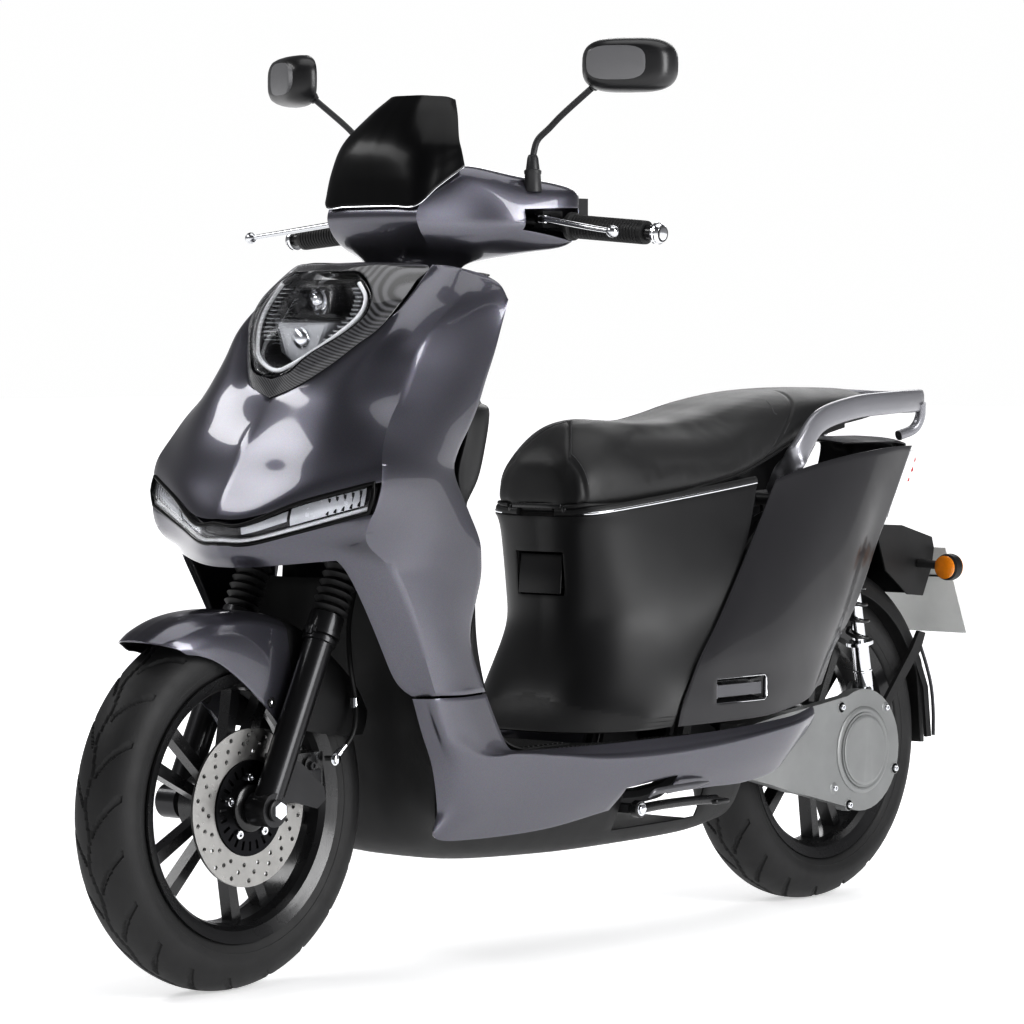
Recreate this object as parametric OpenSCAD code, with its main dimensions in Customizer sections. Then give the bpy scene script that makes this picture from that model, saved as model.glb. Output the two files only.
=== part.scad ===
// Electric moped scooter with a step-through floor.
// Front of the machine faces -Y, its left side faces +X, the ground is z = 0.
// Points are laid out from the middle of the wheelbase; rig() then moves everything so that the
// origin lies on the ground below the middle of the overall length. Units are millimetres.

/* [Wheels] */
// Outer radius of the front tyre
front_tyre_r = 258; // [252:1:260]
// Width of the front tyre
front_tyre_w = 100; // [90:1:104]
// Outer radius of the rear tyre
rear_tyre_r = 256; // [250:1:258]
// Width of the rear tyre
rear_tyre_w = 112; // [100:1:114]
// Number of spoke pairs in each wheel
spoke_pairs = 5; // [3:1:6]
// Outer radius of the brake discs
disc_r = 110; // [100:1:112]
// Drilled holes in one row of a brake disc
disc_holes = 18; // [12:1:20]

/* [Steering] */
// Radius of the fork's chromed tubes
fork_tube_r = 15; // [13:0.5:15.5]
// Outer radius of the fork's lower legs
fork_leg_r = 21; // [20:0.5:22]
// Radius of the handlebar tube
bar_r = 11.1; // [10:0.1:11.1]
// Radius of the rubber grips
grip_r = 16.5; // [15:0.5:17.5]

/* [Suspension] */
// Turns of each rear spring
spring_turns = 6; // [4:1:7]
// Wire radius of the rear springs
spring_wire_r = 3.2; // [2.5:0.1:3.5]

/* [Panels] */
// Thickness of the body panels
panel_t = 2.6; // [2:0.1:3]
// Surface steps between two control points of a panel
panel_steps = 2; // [1:1:3]

/* [Hidden] */
$fn = 48;

// distance from the middle of the wheelbase to the middle of the overall length
overall_shift = -36;

// axles and pivots
front_axle_at = [0, -675, 258];
rear_axle_at = [0, 675, 256];
caster = 26;
swing_pivot = [0, 340, 285];
shock_low = [90, 722, 338];
shock_top = [90, 668, 612];
axle_r = 7.5;
run_gap = 0.05;

// colours
gunmetal = [0.29, 0.28, 0.32];
black = [0.08, 0.08, 0.085];
rubber = [0.05, 0.05, 0.05];
steel = [0.2, 0.2, 0.21];
silver = [0.75, 0.75, 0.76];
cast = [0.55, 0.55, 0.54];

// ---------------------------------------------------------------- curves and surfaces

function unit(v) = v / max(norm(v), 1e-9);

// point at t (0 to len - 1) on the smooth curve through the points p
function on_curve(p, t) =
  let (n = len(p) - 1, i = max(0, min(floor(t), n - 1)), f = t - i,
       b = p[i], c = p[i + 1],
       a = i > 0 ? p[i - 1] : 2 * b - c,
       d = i + 2 <= n ? p[i + 2] : 2 * c - b)
  0.5 * (2 * b + (c - a) * f + (2 * a - 5 * b + 4 * c - d) * f * f
         + (3 * b - 3 * c + d - a) * f * f * f);

// grid of points on the smooth surface through rows of control points, k steps a cell
function patch(rows, k) =
  [for (i = [0 : k * (len(rows) - 1)])
    [for (j = [0 : k * (len(rows[0]) - 1)])
      on_curve([for (r = rows) on_curve(r, j / k)], i / k)]];

// unit normal of grid g at row i, column j
function grid_normal(g, i, j) =
  let (n = len(g) - 1, m = len(g[0]) - 1,
       du = g[min(i + 1, n)][j] - g[max(i - 1, 0)][j],
       dv = g[i][min(j + 1, m)] - g[i][max(j - 1, 0)],
       v = cross(du, dv))
  unit(abs(g[i][j].x) < 0.01 ? [0, v.y, v.z] : v);

function flipped(f) = [for (i = [len(f) - 1 : -1 : 0]) f[i]];
function mirrored(rows) = [for (r = rows) [for (p = r) [-p.x, p.y, p.z]]];

// a cell of the control table is left out where a [row, first column, last column] names it
function is_open(open, i, j) =
  len([for (o = open) if (o[0] == i && j >= o[1] && j <= o[2]) 1]) > 0;

// Panel of thickness t behind the surface through rows; side is 1 or -1 and turns the surface
// over. Cells listed in open are left out. An edge on the plane x = 0 is left without a wall
// when half is true, so that a mirrored half closes it.
function sheet_points(g, t, side) = concat(
  [for (i = [0 : len(g) - 1]) for (j = [0 : len(g[0]) - 1]) g[i][j]],
  [for (i = [0 : len(g) - 1]) for (j = [0 : len(g[0]) - 1]) g[i][j] - side * t * grid_normal(g, i, j)]);

function on_middle(p, q) = abs(p.x) < 0.01 && abs(q.x) < 0.01;
function left_half(g) = [for (r = g) [for (p = r) [max(0, p.x), p.y, p.z]]];

function sheet_faces(g, k, open, half, side) =
  let (n = len(g) - 1, m = len(g[0]) - 1, w = m + 1, o = (n + 1) * w)
  [for (i = [0 : n - 1]) for (j = [0 : m - 1])
    if (!is_open(open, floor(i / k), floor(j / k)))
      let (a = i * w + j, b = a + 1, c = a + w + 1, d = a + w,
           left = j == 0 || is_open(open, floor(i / k), floor((j - 1) / k)),
           right = j == m - 1 || is_open(open, floor(i / k), floor((j + 1) / k)),
           low = i == 0 || is_open(open, floor((i - 1) / k), floor(j / k)),
           high = i == n - 1 || is_open(open, floor((i + 1) / k), floor(j / k)),
           mid_l = half && on_middle(g[i][j], g[i + 1][j]),
           mid_r = half && on_middle(g[i][j + 1], g[i + 1][j + 1]),
           mid_low = half && on_middle(g[i][j], g[i][j + 1]),
           mid_high = half && on_middle(g[i + 1][j], g[i + 1][j + 1]))
      for (f = concat(
        [[a, b, c], [a, c, d], [o + c, o + b, o + a], [o + d, o + c, o + a]],
        left && !mid_l ? [[a, d, o + d], [a, o + d, o + a]] : [],
        right && !mid_r ? [[c, b, o + b], [c, o + b, o + c]] : [],
        low && !mid_low ? [[b, a, o + a], [b, o + a, o + b]] : [],
        high && !mid_high ? [[d, c, o + c], [d, o + c, o + d]] : []))
      side > 0 ? f : flipped(f)];

module sheet(rows, side = 1, t = panel_t, k = panel_steps, open = []) {
  g = patch(rows, k);
  polyhedron(sheet_points(g, t, side), sheet_faces(g, k, open, false, side), convexity = 6);
}

// a panel and its mirror image, joined along x = 0
module sheet_pair(rows, side = 1, t = panel_t, k = panel_steps, open = [], right_open = undef) {
  g = left_half(patch(rows, k));
  h = mirrored(g);
  pts = sheet_points(g, t, side);
  base = len(pts);
  more = [for (f = sheet_faces(h, k, is_undef(right_open) ? open : right_open, true, -side)) [for (v = f) v + base]];
  polyhedron(concat(pts, sheet_points(h, t, -side)),
             concat(sheet_faces(g, k, open, true, side), more), convexity = 8);
}

// closed solid through rings that all have the same number of points
module loft(rings) {
  n = len(rings[0]);
  last = (len(rings) - 1) * n;
  pts = [for (r = rings) for (p = r) p];
  walls = [for (i = [0 : len(rings) - 2]) for (j = [0 : n - 1])
    let (a = i * n + j, b = i * n + (j + 1) % n)
    for (f = [[a, b + n, b], [a, a + n, b + n]]) f];
  caps = [for (j = [1 : n - 2]) for (f = [[0, j, j + 1], [last, last + j + 1, last + j]]) f];
  polyhedron(pts, concat(walls, caps), convexity = 6);
}

// ring of n points around c in the plane at right angles to direction d, of half sizes ru and rv
function ring(c, d, ru, rv, n, up = [0, 0, 1]) =
  let (w = unit(d), u = unit(cross(up, w)), v = cross(w, u))
  [for (i = [0 : n - 1]) c + ru * cos(360 * i / n) * u + rv * sin(360 * i / n) * v];

// bar of elliptical section along the smooth curve through the points p
module sweep(p, ru, rv, n = 10, k = 3, up = [0, 0, 1]) {
  c = [for (i = [0 : k * (len(p) - 1)]) on_curve(p, i / k)];
  m = len(c) - 1;
  loft([for (i = [0 : m]) ring(c[i], c[min(i + 1, m)] - c[max(i - 1, 0)], ru, rv, n, up)]);
}

// ---------------------------------------------------------------- exact shapes

module rig() translate([0, overall_shift, 0]) children();
module both() { children(); mirror([1, 0, 0]) children(); }

// turns the z axis towards d
module aim(d) {
  w = unit(d);
  rotate([0, acos(w.z), atan2(w.y, w.x)]) children();
}
module rod(a, b, r) translate(a) aim(b - a) cylinder(h = norm(b - a), r = r);
module rods(p, r) {
  for (i = [0 : len(p) - 2]) rod(p[i], p[i + 1], r);
  for (i = [1 : len(p) - 2]) translate(p[i]) sphere(r = r);
}
module across(c, r, w) translate(c) rotate([0, 90, 0]) cylinder(h = w, r = r, center = true);
// plate in the y-z plane: points are [y, z], x is its middle
module side_plate(p, x, w) translate([x - w / 2, 0, 0]) rotate([90, 0, 90]) linear_extrude(w) polygon(p);

// ---------------------------------------------------------------- steering geometry

steer_dir = [0, sin(caster), cos(caster)];
steer_slope = tan(caster);
// point on the steering axis at height z
function axis_at(z) = [0, -760 + steer_slope * z, z];
fork_x = 85;
// point on the left fork leg's centre line at height z
function fork_at(z) = [fork_x, front_axle_at.y + steer_slope * (z - front_axle_at.z), z];

bar_points = [[0, -231, 1085], [100, -212, 1082], [180, -152, 1070], [352, -146, 1056]];

// ---------------------------------------------------------------- panel tables

// rows run down the shield from the top, columns from the middle or the lamp out to the rear edge
shield_rows = [
  [[124, -372, 1010], [128, -350, 1009], [138, -332, 1006], [152, -302, 998], [174, -285, 984], [190, -282, 961]],
  [[138, -445, 958], [146, -434, 960], [156, -412, 960], [170, -372, 955], [184, -325, 942], [192, -300, 926]],
  [[126, -482, 919], [144, -482, 920], [162, -470, 918], [177, -440, 912], [190, -365, 900], [193, -318, 886]],
  [[106, -506, 896], [130, -508, 894], [154, -496, 888], [178, -466, 880], [194, -388, 866], [194, -338, 848]],
  [[79, -535, 866], [112, -540, 862], [146, -527, 858], [182, -490, 852], [199, -405, 836], [195, -356, 812]],
  [[43, -564, 837], [88, -568, 832], [136, -560, 828], [188, -512, 820], [204, -431, 806], [196, -376, 782]],
  [[0, -572, 821], [66, -582, 812], [132, -580, 802], [195, -540, 795], [207, -455, 780], [196, -394, 758]],
  [[0, -624, 762], [60, -622, 757], [128, -612, 752], [203, -562, 763], [210, -470, 752], [196, -404, 740]],
  [[0, -650, 708], [52, -640, 704], [124, -630, 712], [214, -578, 737], [211, -478, 732], [196, -408, 726]],
  [[0, -686, 655], [46, -680, 654], [120, -641, 685], [220, -582, 714], [213, -480, 710], [196, -403, 706]],
  [[0, -675, 618], [46, -664, 619], [108, -634, 635], [212, -593, 664], [209, -474, 668], [196, -378, 664]],
  [[0, -670, 603], [50, -666, 604], [132, -612, 621], [195, -598, 630], [205, -462, 628], [196, -354, 622]],
  [[0, -655, 590], [55, -652, 591], [160, -593, 604], [192, -548, 602], [204, -446, 596], [196, -350, 590]],
  [[0, -655, 575], [55, -650, 576], [166, -572, 580], [193, -530, 580], [203, -438, 572], [196, -352, 566]],
  [[0, -655, 545], [55, -640, 545], [168, -547, 545], [194, -508, 545], [203, -430, 540], [196, -361, 538]],
  [[0, -655, 505], [55, -620, 505], [168, -520, 502], [195, -485, 502], [202, -425, 498], [196, -373, 500]],
  [[0, -655, 460], [55, -600, 460], [168, -493, 458], [195, -466, 458], [202, -418, 455], [196, -370, 464]],
  [[0, -655, 410], [55, -580, 410], [168, -464, 407], [196, -445, 407], [201, -395, 405], [196, -342, 406]]
];
shield_open = concat(
  [[9, 0, 2]],
  [for (i = [12 : 16]) [i, 0, 1]]);

// rows run back along the skirt, columns from its upper edge over the crease to its lower edge
skirt_rows = [
  [[196, -340, 403], [201, -394, 402], [196, -443, 403], [183, -455, 403], [168, -462, 403]],
  [[196, -314, 356], [201, -372, 356], [197, -426, 358], [184, -434, 356], [168, -443, 355]],
  [[196, -292, 324], [201, -352, 330], [199, -405, 330], [186, -412, 312], [168, -420, 302]],
  [[196, -272, 316], [201, -318, 316], [201, -362, 310], [190, -388, 270], [168, -411, 240]],
  [[196, -240, 314], [201, -262, 312], [202, -285, 306], [188, -352, 240], [168, -417, 203]],
  [[196, -180, 313], [201, -182, 306], [203, -188, 298], [190, -265, 240], [172, -340, 195]],
  [[196, -90, 312], [201, -90, 300], [204, -92, 288], [193, -130, 240], [177, -190, 197]],
  [[196, 0, 312], [201, 0, 298], [204, 0, 284], [194, -20, 245], [180, -45, 213]],
  [[196, 100, 312], [201, 100, 299], [204, 100, 285], [195, 100, 255], [181, 92, 227]],
  [[194, 200, 313], [199, 200, 302], [202, 200, 289], [194, 198, 258], [180, 190, 229]],
  [[190, 300, 316], [196, 300, 306], [199, 300, 297], [190, 296, 262], [176, 285, 229]],
  [[184, 400, 322], [189, 400, 314], [191, 400, 306], [182, 388, 272], [170, 372, 240]],
  [[170, 470, 332], [174, 468, 324], [175, 464, 314], [170, 446, 290], [164, 420, 268]]
];
// cut in the left skirt's lower edge around the side stand
stand_notch = [[7, 3, 3]];

// rows run back along the side panel, columns from its upper edge to its lower edge
side_rows = [
  [[163, 383, 688], [170, 330, 622], [180, 268, 550], [188, 205, 478], [192, 158, 428], [193, 134, 392], [193, 112, 354], [190, 106, 326]],
  [[159, 425, 697], [169, 384, 630], [181, 330, 552], [190, 268, 480], [194, 218, 428], [193, 194, 392], [193, 194, 354], [189, 196, 326]],
  [[150, 505, 709], [163, 468, 634], [176, 424, 554], [185, 380, 482], [189, 344, 428], [188, 324, 392], [188, 324, 354], [185, 322, 327]],
  [[140, 590, 719], [152, 556, 638], [163, 518, 556], [171, 482, 484], [174, 452, 432], [174, 430, 396], [174, 416, 358], [173, 408, 334]],
  [[126, 690, 727], [135, 655, 642], [144, 618, 560], [152, 578, 488], [155, 540, 438], [157, 512, 404], [160, 486, 368], [162, 468, 344]],
  [[112, 770, 731], [117, 720, 645], [122, 672, 566], [128, 628, 500], [134, 590, 448], [139, 552, 410], [147, 520, 378], [153, 500, 358]],
  [[96, 838, 731], [104, 778, 650], [110, 722, 575], [117, 675, 510], [122, 632, 460], [124, 590, 418], [136, 552, 384], [145, 526, 362]]
];
// opening of the folding footrest
side_open = [[1, 5, 5]];

// rows run down the inner leg shield, columns from the middle out to the edge
inner_rows = [
  [[0, -190, 1000], [60, -193, 1000], [112, -240, 998], [142, -300, 990], [168, -294, 968], [181, -292, 944]],
  [[0, -220, 950], [66, -226, 950], [118, -262, 950], [150, -306, 948], [172, -312, 932], [184, -308, 908]],
  [[0, -262, 870], [70, -262, 870], [124, -280, 870], [154, -316, 868], [175, -336, 860], [186, -342, 846]],
  [[0, -286, 818], [74, -284, 818], [134, -288, 818], [162, -318, 816], [179, -350, 812], [187, -364, 806]],
  [[0, -276, 800], [76, -274, 800], [140, -276, 799], [168, -306, 798], [182, -352, 786], [188, -372, 770]],
  [[0, -306, 720], [78, -304, 720], [144, -306, 718], [170, -326, 716], [184, -370, 715], [188, -390, 714]],
  [[0, -330, 672], [78, -328, 672], [142, -330, 670], [168, -353, 668], [182, -366, 664], [188, -374, 660]],
  [[0, -346, 640], [78, -344, 640], [138, -342, 638], [168, -350, 630], [183, -352, 618], [188, -352, 610]],
  [[0, -338, 560], [78, -336, 560], [138, -334, 560], [168, -338, 560], [183, -348, 556], [188, -352, 552]],
  [[0, -314, 460], [78, -312, 460], [138, -312, 460], [168, -326, 460], [183, -350, 458], [188, -362, 456]],
  [[0, -284, 360], [78, -282, 360], [138, -282, 360], [168, -292, 360], [183, -304, 358], [189, -310, 356]],
  [[0, -238, 316], [78, -237, 316], [138, -238, 316], [168, -248, 317], [183, -258, 318], [189, -262, 320]],
  [[0, -150, 304], [78, -150, 304], [138, -150, 304], [168, -150, 306], [183, -150, 308], [189, -150, 310]],
  [[0, -60, 304], [78, -60, 304], [138, -30, 304], [166, 10, 306], [182, 0, 307], [189, 0, 309]],
  [[0, -52, 304], [64, -48, 304], [124, -20, 304], [158, 28, 306], [175, 66, 307], [186, 100, 309]]
];

// rows run down the body under the seat, columns from the middle of its front to its rear edge
under_rows = [
  [[0, 6, 640], [44, 6, 640], [98, 28, 643], [124, 120, 654], [144, 240, 669], [156, 345, 682]],
  [[0, 13, 588], [44, 13, 588], [99, 39, 590], [130, 134, 593], [151, 236, 599], [164, 312, 604]],
  [[0, 19, 518], [44, 19, 518], [100, 50, 519], [134, 132, 520], [159, 210, 522], [176, 258, 524]],
  [[0, 20, 470], [48, 21, 470], [102, 57, 470], [140, 126, 470], [164, 178, 470], [182, 214, 472]],
  [[0, 4, 400], [54, 4, 400], [106, 22, 400], [146, 78, 400], [170, 118, 400], [186, 146, 400]],
  [[0, -20, 350], [60, -18, 350], [116, 8, 350], [156, 54, 350], [176, 88, 350], [187, 114, 350]],
  [[0, -56, 320], [66, -52, 320], [126, -24, 320], [160, 22, 321], [176, 62, 323], [186, 98, 326]]
];
// opening behind the charging lid
under_open = [[1, 0, 0]];

// rows run back under the floor, columns from the middle out and up to the skirt
belly_rows = [
  [[0, -376, 560], [60, -377, 560], [108, -388, 560], [140, -420, 562], [157, -466, 566]],
  [[0, -372, 470], [60, -374, 470], [110, -390, 470], [142, -420, 470], [158, -460, 470]],
  [[0, -372, 380], [62, -374, 380], [112, -390, 380], [142, -415, 380], [158, -436, 380]],
  [[0, -372, 290], [62, -375, 290], [110, -385, 290], [140, -395, 290], [158, -404, 290]],
  [[0, -362, 215], [62, -364, 215], [108, -372, 215], [138, -382, 215], [157, -395, 218]],
  [[0, -338, 172], [62, -338, 172], [104, -340, 174], [132, -344, 184], [154, -346, 208]],
  [[0, -280, 154], [62, -278, 155], [104, -268, 160], [132, -250, 174], [152, -238, 210]],
  [[0, -120, 147], [62, -118, 148], [106, -112, 153], [132, -100, 172], [150, -90, 214]],
  [[0, 20, 146], [62, 20, 147], [106, 20, 152], [130, 22, 174], [150, 26, 228]],
  [[0, 220, 150], [62, 220, 151], [104, 222, 156], [128, 224, 178], [148, 228, 232]],
  [[0, 325, 160], [58, 325, 161], [98, 325, 168], [124, 326, 190], [144, 328, 234]]
];
// gap for the side stand's bracket in the left half
belly_open = [[8, 3, 3]];

// carbon ring around the headlight: rows run from the top middle round to the bottom middle
surround_rows = [
  [[0, -480, 1002], [0, -455, 1010], [0, -432, 1012]],
  [[38, -472, 1001], [50, -448, 1009], [60, -420, 1013]],
  [[63, -458, 1000], [92, -422, 1008], [120, -376, 1009]],
  [[89, -465, 983], [112, -440, 985], [130, -412, 986]],
  [[104, -476, 962], [122, -462, 961], [135.5, -447, 959]],
  [[107, -493, 938], [117, -490, 930], [124, -483, 921]],
  [[91, -518, 914], [99, -513, 905], [104.3, -507, 898]],
  [[56, -555, 882], [68, -546, 874], [77.5, -536, 868]],
  [[35, -570, 860], [39, -568, 849], [42, -565, 839.5]],
  [[0, -570, 849], [0, -572, 836], [0, -573, 823.5]]
];

// clear cover of the headlight: rows run down, columns from the middle to the rim
lens_rows = [
  [[0, -482, 999], [30, -477, 999], [48, -468, 999], [59, -461, 998]],
  [[0, -500, 984], [40, -492, 984], [70, -474, 983], [84, -468, 982]],
  [[0, -522, 960], [46, -512, 961], [84, -488, 962], [101, -478, 962]],
  [[0, -544, 935], [46, -534, 936], [86, -506, 938], [104, -494, 938]],
  [[0, -560, 912], [40, -552, 913], [73, -530, 914], [88, -518, 915]],
  [[0, -570, 886], [26, -568, 886], [44, -560, 885], [54, -554, 884]],
  [[0, -573, 865], [15, -573, 864], [27, -571, 863], [33, -568, 863]],
  [[0, -571, 854], [6, -571, 854], [12, -570, 855], [15, -570, 855]]
];

// lower lamp strip: one row along the hood's edge, one along the chin
drl_rows = [
  [[0, -684, 651], [46, -678, 650], [120, -640, 681], [212, -589, 709]],
  [[0, -686, 637], [46, -677, 637], [118, -645, 660], [213, -594, 689]],
  [[0, -676, 622], [46, -666, 623], [110, -636, 640], [207, -596, 668]]
];

// rows run back along the fender, columns from its crown down its side
fender_rows = [
  [[0, -846, 494], [22, -844, 493], [40, -832, 490], [52, -812, 484], [54, -796, 478]],
  [[0, -820, 508], [28, -818, 506], [48, -806, 499], [58, -788, 486], [59, -776, 474]],
  [[0, -780, 522], [29, -778, 520], [50, -768, 510], [60, -750, 492], [61, -742, 462]],
  [[0, -730, 529], [30, -728, 527], [51, -720, 515], [60, -706, 484], [61, -694, 432]],
  [[0, -670, 529], [30, -668, 527], [51, -662, 515], [60, -650, 462], [61, -640, 388]],
  [[0, -612, 521], [30, -612, 519], [51, -610, 505], [59, -606, 440], [60, -611, 356]],
  [[0, -556, 503], [30, -558, 501], [51, -562, 488], [59, -572, 425], [60, -584, 360]],
  [[0, -500, 471], [30, -503, 469], [50, -512, 459], [58, -524, 410], [59, -536, 352]],
  [[0, -446, 424], [29, -449, 423], [48, -457, 418], [56, -468, 385], [57, -480, 345]],
  [[0, -416, 380], [28, -418, 380], [46, -426, 376], [53, -436, 360], [54, -444, 344]]
];

// handlebar cover: rows go up from the neck, columns run from the front round the end to the rear
cover_rows = [
  [[0, -328, 990], [24, -324, 990], [48, -306, 990], [58, -282, 990], [58, -256, 990], [50, -228, 990], [24, -217, 990], [0, -215, 990]],
  [[0, -336, 1020], [30, -333, 1020], [58, -314, 1020], [68, -285, 1020], [70, -248, 1018], [56, -222, 1016], [34, -208, 1016], [0, -204, 1016]],
  [[0, -352, 1042], [45, -349, 1042], [82, -334, 1042], [106, -290, 1042], [130, -240, 1042], [136, -182, 1032], [66, -170, 1036], [0, -168, 1040]],
  [[0, -362, 1066], [45, -361, 1066], [85, -355, 1066], [124, -288, 1066], [166, -222, 1064], [184, -128, 1046], [92, -138, 1050], [0, -142, 1054]],
  [[0, -364, 1092], [45, -363, 1092], [85, -357, 1092], [124, -289, 1092], [167, -221, 1091], [190, -122, 1096], [95, -120, 1090], [0, -120, 1090]],
  [[0, -322, 1136], [45, -320, 1136], [88, -312, 1138], [112, -284, 1148], [148, -212, 1136], [178, -122, 1123], [95, -108, 1118], [0, -104, 1116]],
  [[0, -268, 1150], [40, -266, 1150], [74, -258, 1152], [88, -240, 1152], [100, -198, 1142], [110, -150, 1130], [78, -126, 1124], [0, -122, 1122]]
];
// open end of the cover, where the bar comes out
cover_open = [[3, 4, 4]];

// windscreen: rows go up, columns from the middle to its rear edge
screen_rows = [
  [[0, -369, 1097], [45, -368, 1097], [86, -362, 1097], [103, -334, 1124], [120, -296, 1153]],
  [[0, -364, 1140], [44, -362, 1140], [84, -351, 1143], [101, -323, 1158], [113, -294, 1173]],
  [[0, -350, 1185], [42, -347, 1185], [76, -334, 1187], [93, -312, 1190], [104, -290, 1192]],
  [[0, -316, 1228], [36, -313, 1228], [60, -297, 1228], [73, -280, 1228], [80, -266, 1225]],
  [[0, -284, 1256], [24, -281, 1256], [40, -272, 1255], [52, -258, 1254], [58, -246, 1250]]
];

// seat cushion: rings run back, each from the middle of the top down its left side to the underside
seat_half = [
  [[0, 6, 724], [30, 6, 721], [50, 7, 708], [58, 6, 690], [56, 4, 673], [40, 4, 667], [0, 4, 667]],
  [[0, 30, 756], [36, 30, 750], [66, 26, 732], [86, 20, 704], [90, 18, 675], [66, 18, 668], [0, 18, 668]],
  [[0, 74, 782], [44, 76, 776], [82, 80, 754], [106, 82, 714], [108, 84, 675], [82, 84, 669], [0, 84, 669]],
  [[0, 160, 779], [50, 160, 776], [96, 162, 757], [122, 164, 720], [124, 166, 681], [96, 166, 675], [0, 166, 675]],
  [[0, 250, 778], [60, 250, 775], [112, 250, 757], [138, 250, 726], [140, 250, 691], [110, 250, 684], [0, 250, 684]],
  [[0, 330, 790], [64, 330, 786], [118, 330, 766], [142, 330, 734], [143, 330, 701], [116, 330, 694], [0, 330, 694]],
  [[0, 410, 806], [62, 410, 802], [110, 410, 786], [130, 410, 758], [131, 410, 722], [108, 410, 714], [0, 410, 714]],
  [[0, 520, 820], [58, 520, 817], [102, 520, 804], [120, 516, 784], [121, 512, 756], [98, 512, 742], [0, 512, 742]],
  [[0, 640, 826], [54, 640, 823], [92, 638, 812], [108, 634, 798], [109, 632, 780], [90, 632, 764], [0, 632, 764]],
  [[0, 740, 824], [48, 740, 821], [80, 736, 812], [93, 732, 802], [94, 730, 790], [78, 730, 776], [0, 730, 776]],
  [[0, 826, 812], [36, 822, 810], [58, 812, 805], [67, 804, 799], [68, 802, 793], [56, 802, 786], [0, 806, 786]]
];

// ---------------------------------------------------------------- fork and wheels

// frame of the steering axis: z runs up the axis from the ground, y back, x to the left
module on_axis(s = 0) translate([0, -760, 0]) rotate([-caster, 0, 0]) translate([0, 0, s]) children();
fork_back = -36.7;        // fork legs, ahead of the axis
fork_axle_s = 269.2;      // front axle along the axis
leg_top_s = 560;
tube_bottom_s = 366;
crown_s = 664;
crown_h = 28;
head_s = [779, 979];
stem_r = 15;
stem_top_s = 1186;
tube_top_s = crown_s + crown_h + 6;

// closed ring of revolution about the x axis through c: profile points are [radius, x]
module turned(c, profile, n = 96) translate(c) rotate([0, 90, 0]) rotate_extrude($fn = n) polygon(profile);

rim_profile = [
  [166, -32], [172, -40], [179, -43], [189, -47], [189, -43], [181, -38], [176, -26], [168, -14],
  [168, 14], [176, 26], [181, 38], [189, 43], [189, 47], [179, 43], [172, 40], [166, 32], [162, 18], [162, -18]
];

// half of the tyre's section: radius and half width as parts of the tyre's height and width
function tyre_profile(r, w) =
  let (half = [[r, 0], [r - 1.5, w * 0.14], [r - 6, w * 0.27], [r - 14, w * 0.38], [r - 26, w * 0.465],
               [r - 40, w * 0.5], [r - 53, w * 0.475], [r - 64, w * 0.435], [r - 67, 42.2], [r - 75, 37.6],
               [r - 75, 36], [r - 60, w * 0.4], [r - 40, w * 0.43], [r - 24, w * 0.38], [r - 12, w * 0.2]])
  concat(half, [[r - 10, 0]], [for (i = [len(half) - 1 : -1 : 1]) [half[i][0], -half[i][1]]]);

module spoke_pair(hub_r, out_r, w) {
  for (side = [-1, 1])
    rotate([0, 90, 0]) linear_extrude(w, center = true)
      polygon([[hub_r - 6, side * 5], [hub_r - 6, side * 19], [out_r, side * 40], [out_r, side * 22]]);
}

module wheel(c, hub_r, hub_w, bore, w) {
  difference() {
    union() {
      turned(c, rim_profile);
      across(c, hub_r, hub_w);
      for (i = [0 : spoke_pairs - 1])
        translate(c) rotate([360 * i / spoke_pairs + 18, 0, 0]) spoke_pair(hub_r, 167, w);
    }
    across(c, bore, hub_w + 10);
  }
}

module disc(c, x) {
  slots = 24;
  difference() {
    union() {
      across(c + [x, 0, 0], disc_r, 4);
      across(c + [x, 0, 0], 66, 9);
    }
    across(c + [x, 0, 0], 34, 12);
    for (i = [0 : disc_holes - 1]) {
      translate(c + [x, 0, 0]) rotate([360 * i / disc_holes, 0, 0]) {
        across([0, 0, disc_r - 9], 3.2, 12);
        rotate([360 / disc_holes / 3, 0, 0]) across([0, 0, disc_r - 20], 3.2, 12);
        rotate([720 / disc_holes / 3, 0, 0]) across([0, 0, disc_r - 31], 3.2, 12);
      }
    }
    for (i = [0 : slots - 1])
      translate(c + [x, 0, 0]) rotate([360 * i / slots, 0, 0]) translate([0, 0, 53]) cube([12, 4.5, 13], center = true);
  }
}

module front_rim() color(black) rig() wheel(front_axle_at, 42, 84, axle_r + run_gap, 20);
module rear_rim() color(black) rig() wheel(rear_axle_at, 62, 96, axle_r + run_gap, 24);
module front_tyre() color(rubber) rig() turned(front_axle_at, tyre_profile(front_tyre_r, front_tyre_w));
module rear_tyre() color(rubber) rig() turned(rear_axle_at, tyre_profile(rear_tyre_r, rear_tyre_w));
disc_x = 52;
module front_disc() color(silver) rig() difference() {
  disc(front_axle_at, disc_x);
  across(front_axle_at, 30, 110);
}

// bore in which the chromed tube slides
module leg_bore() translate([fork_x, fork_back, 300]) cylinder(h = 300, r = fork_tube_r + run_gap);
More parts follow.
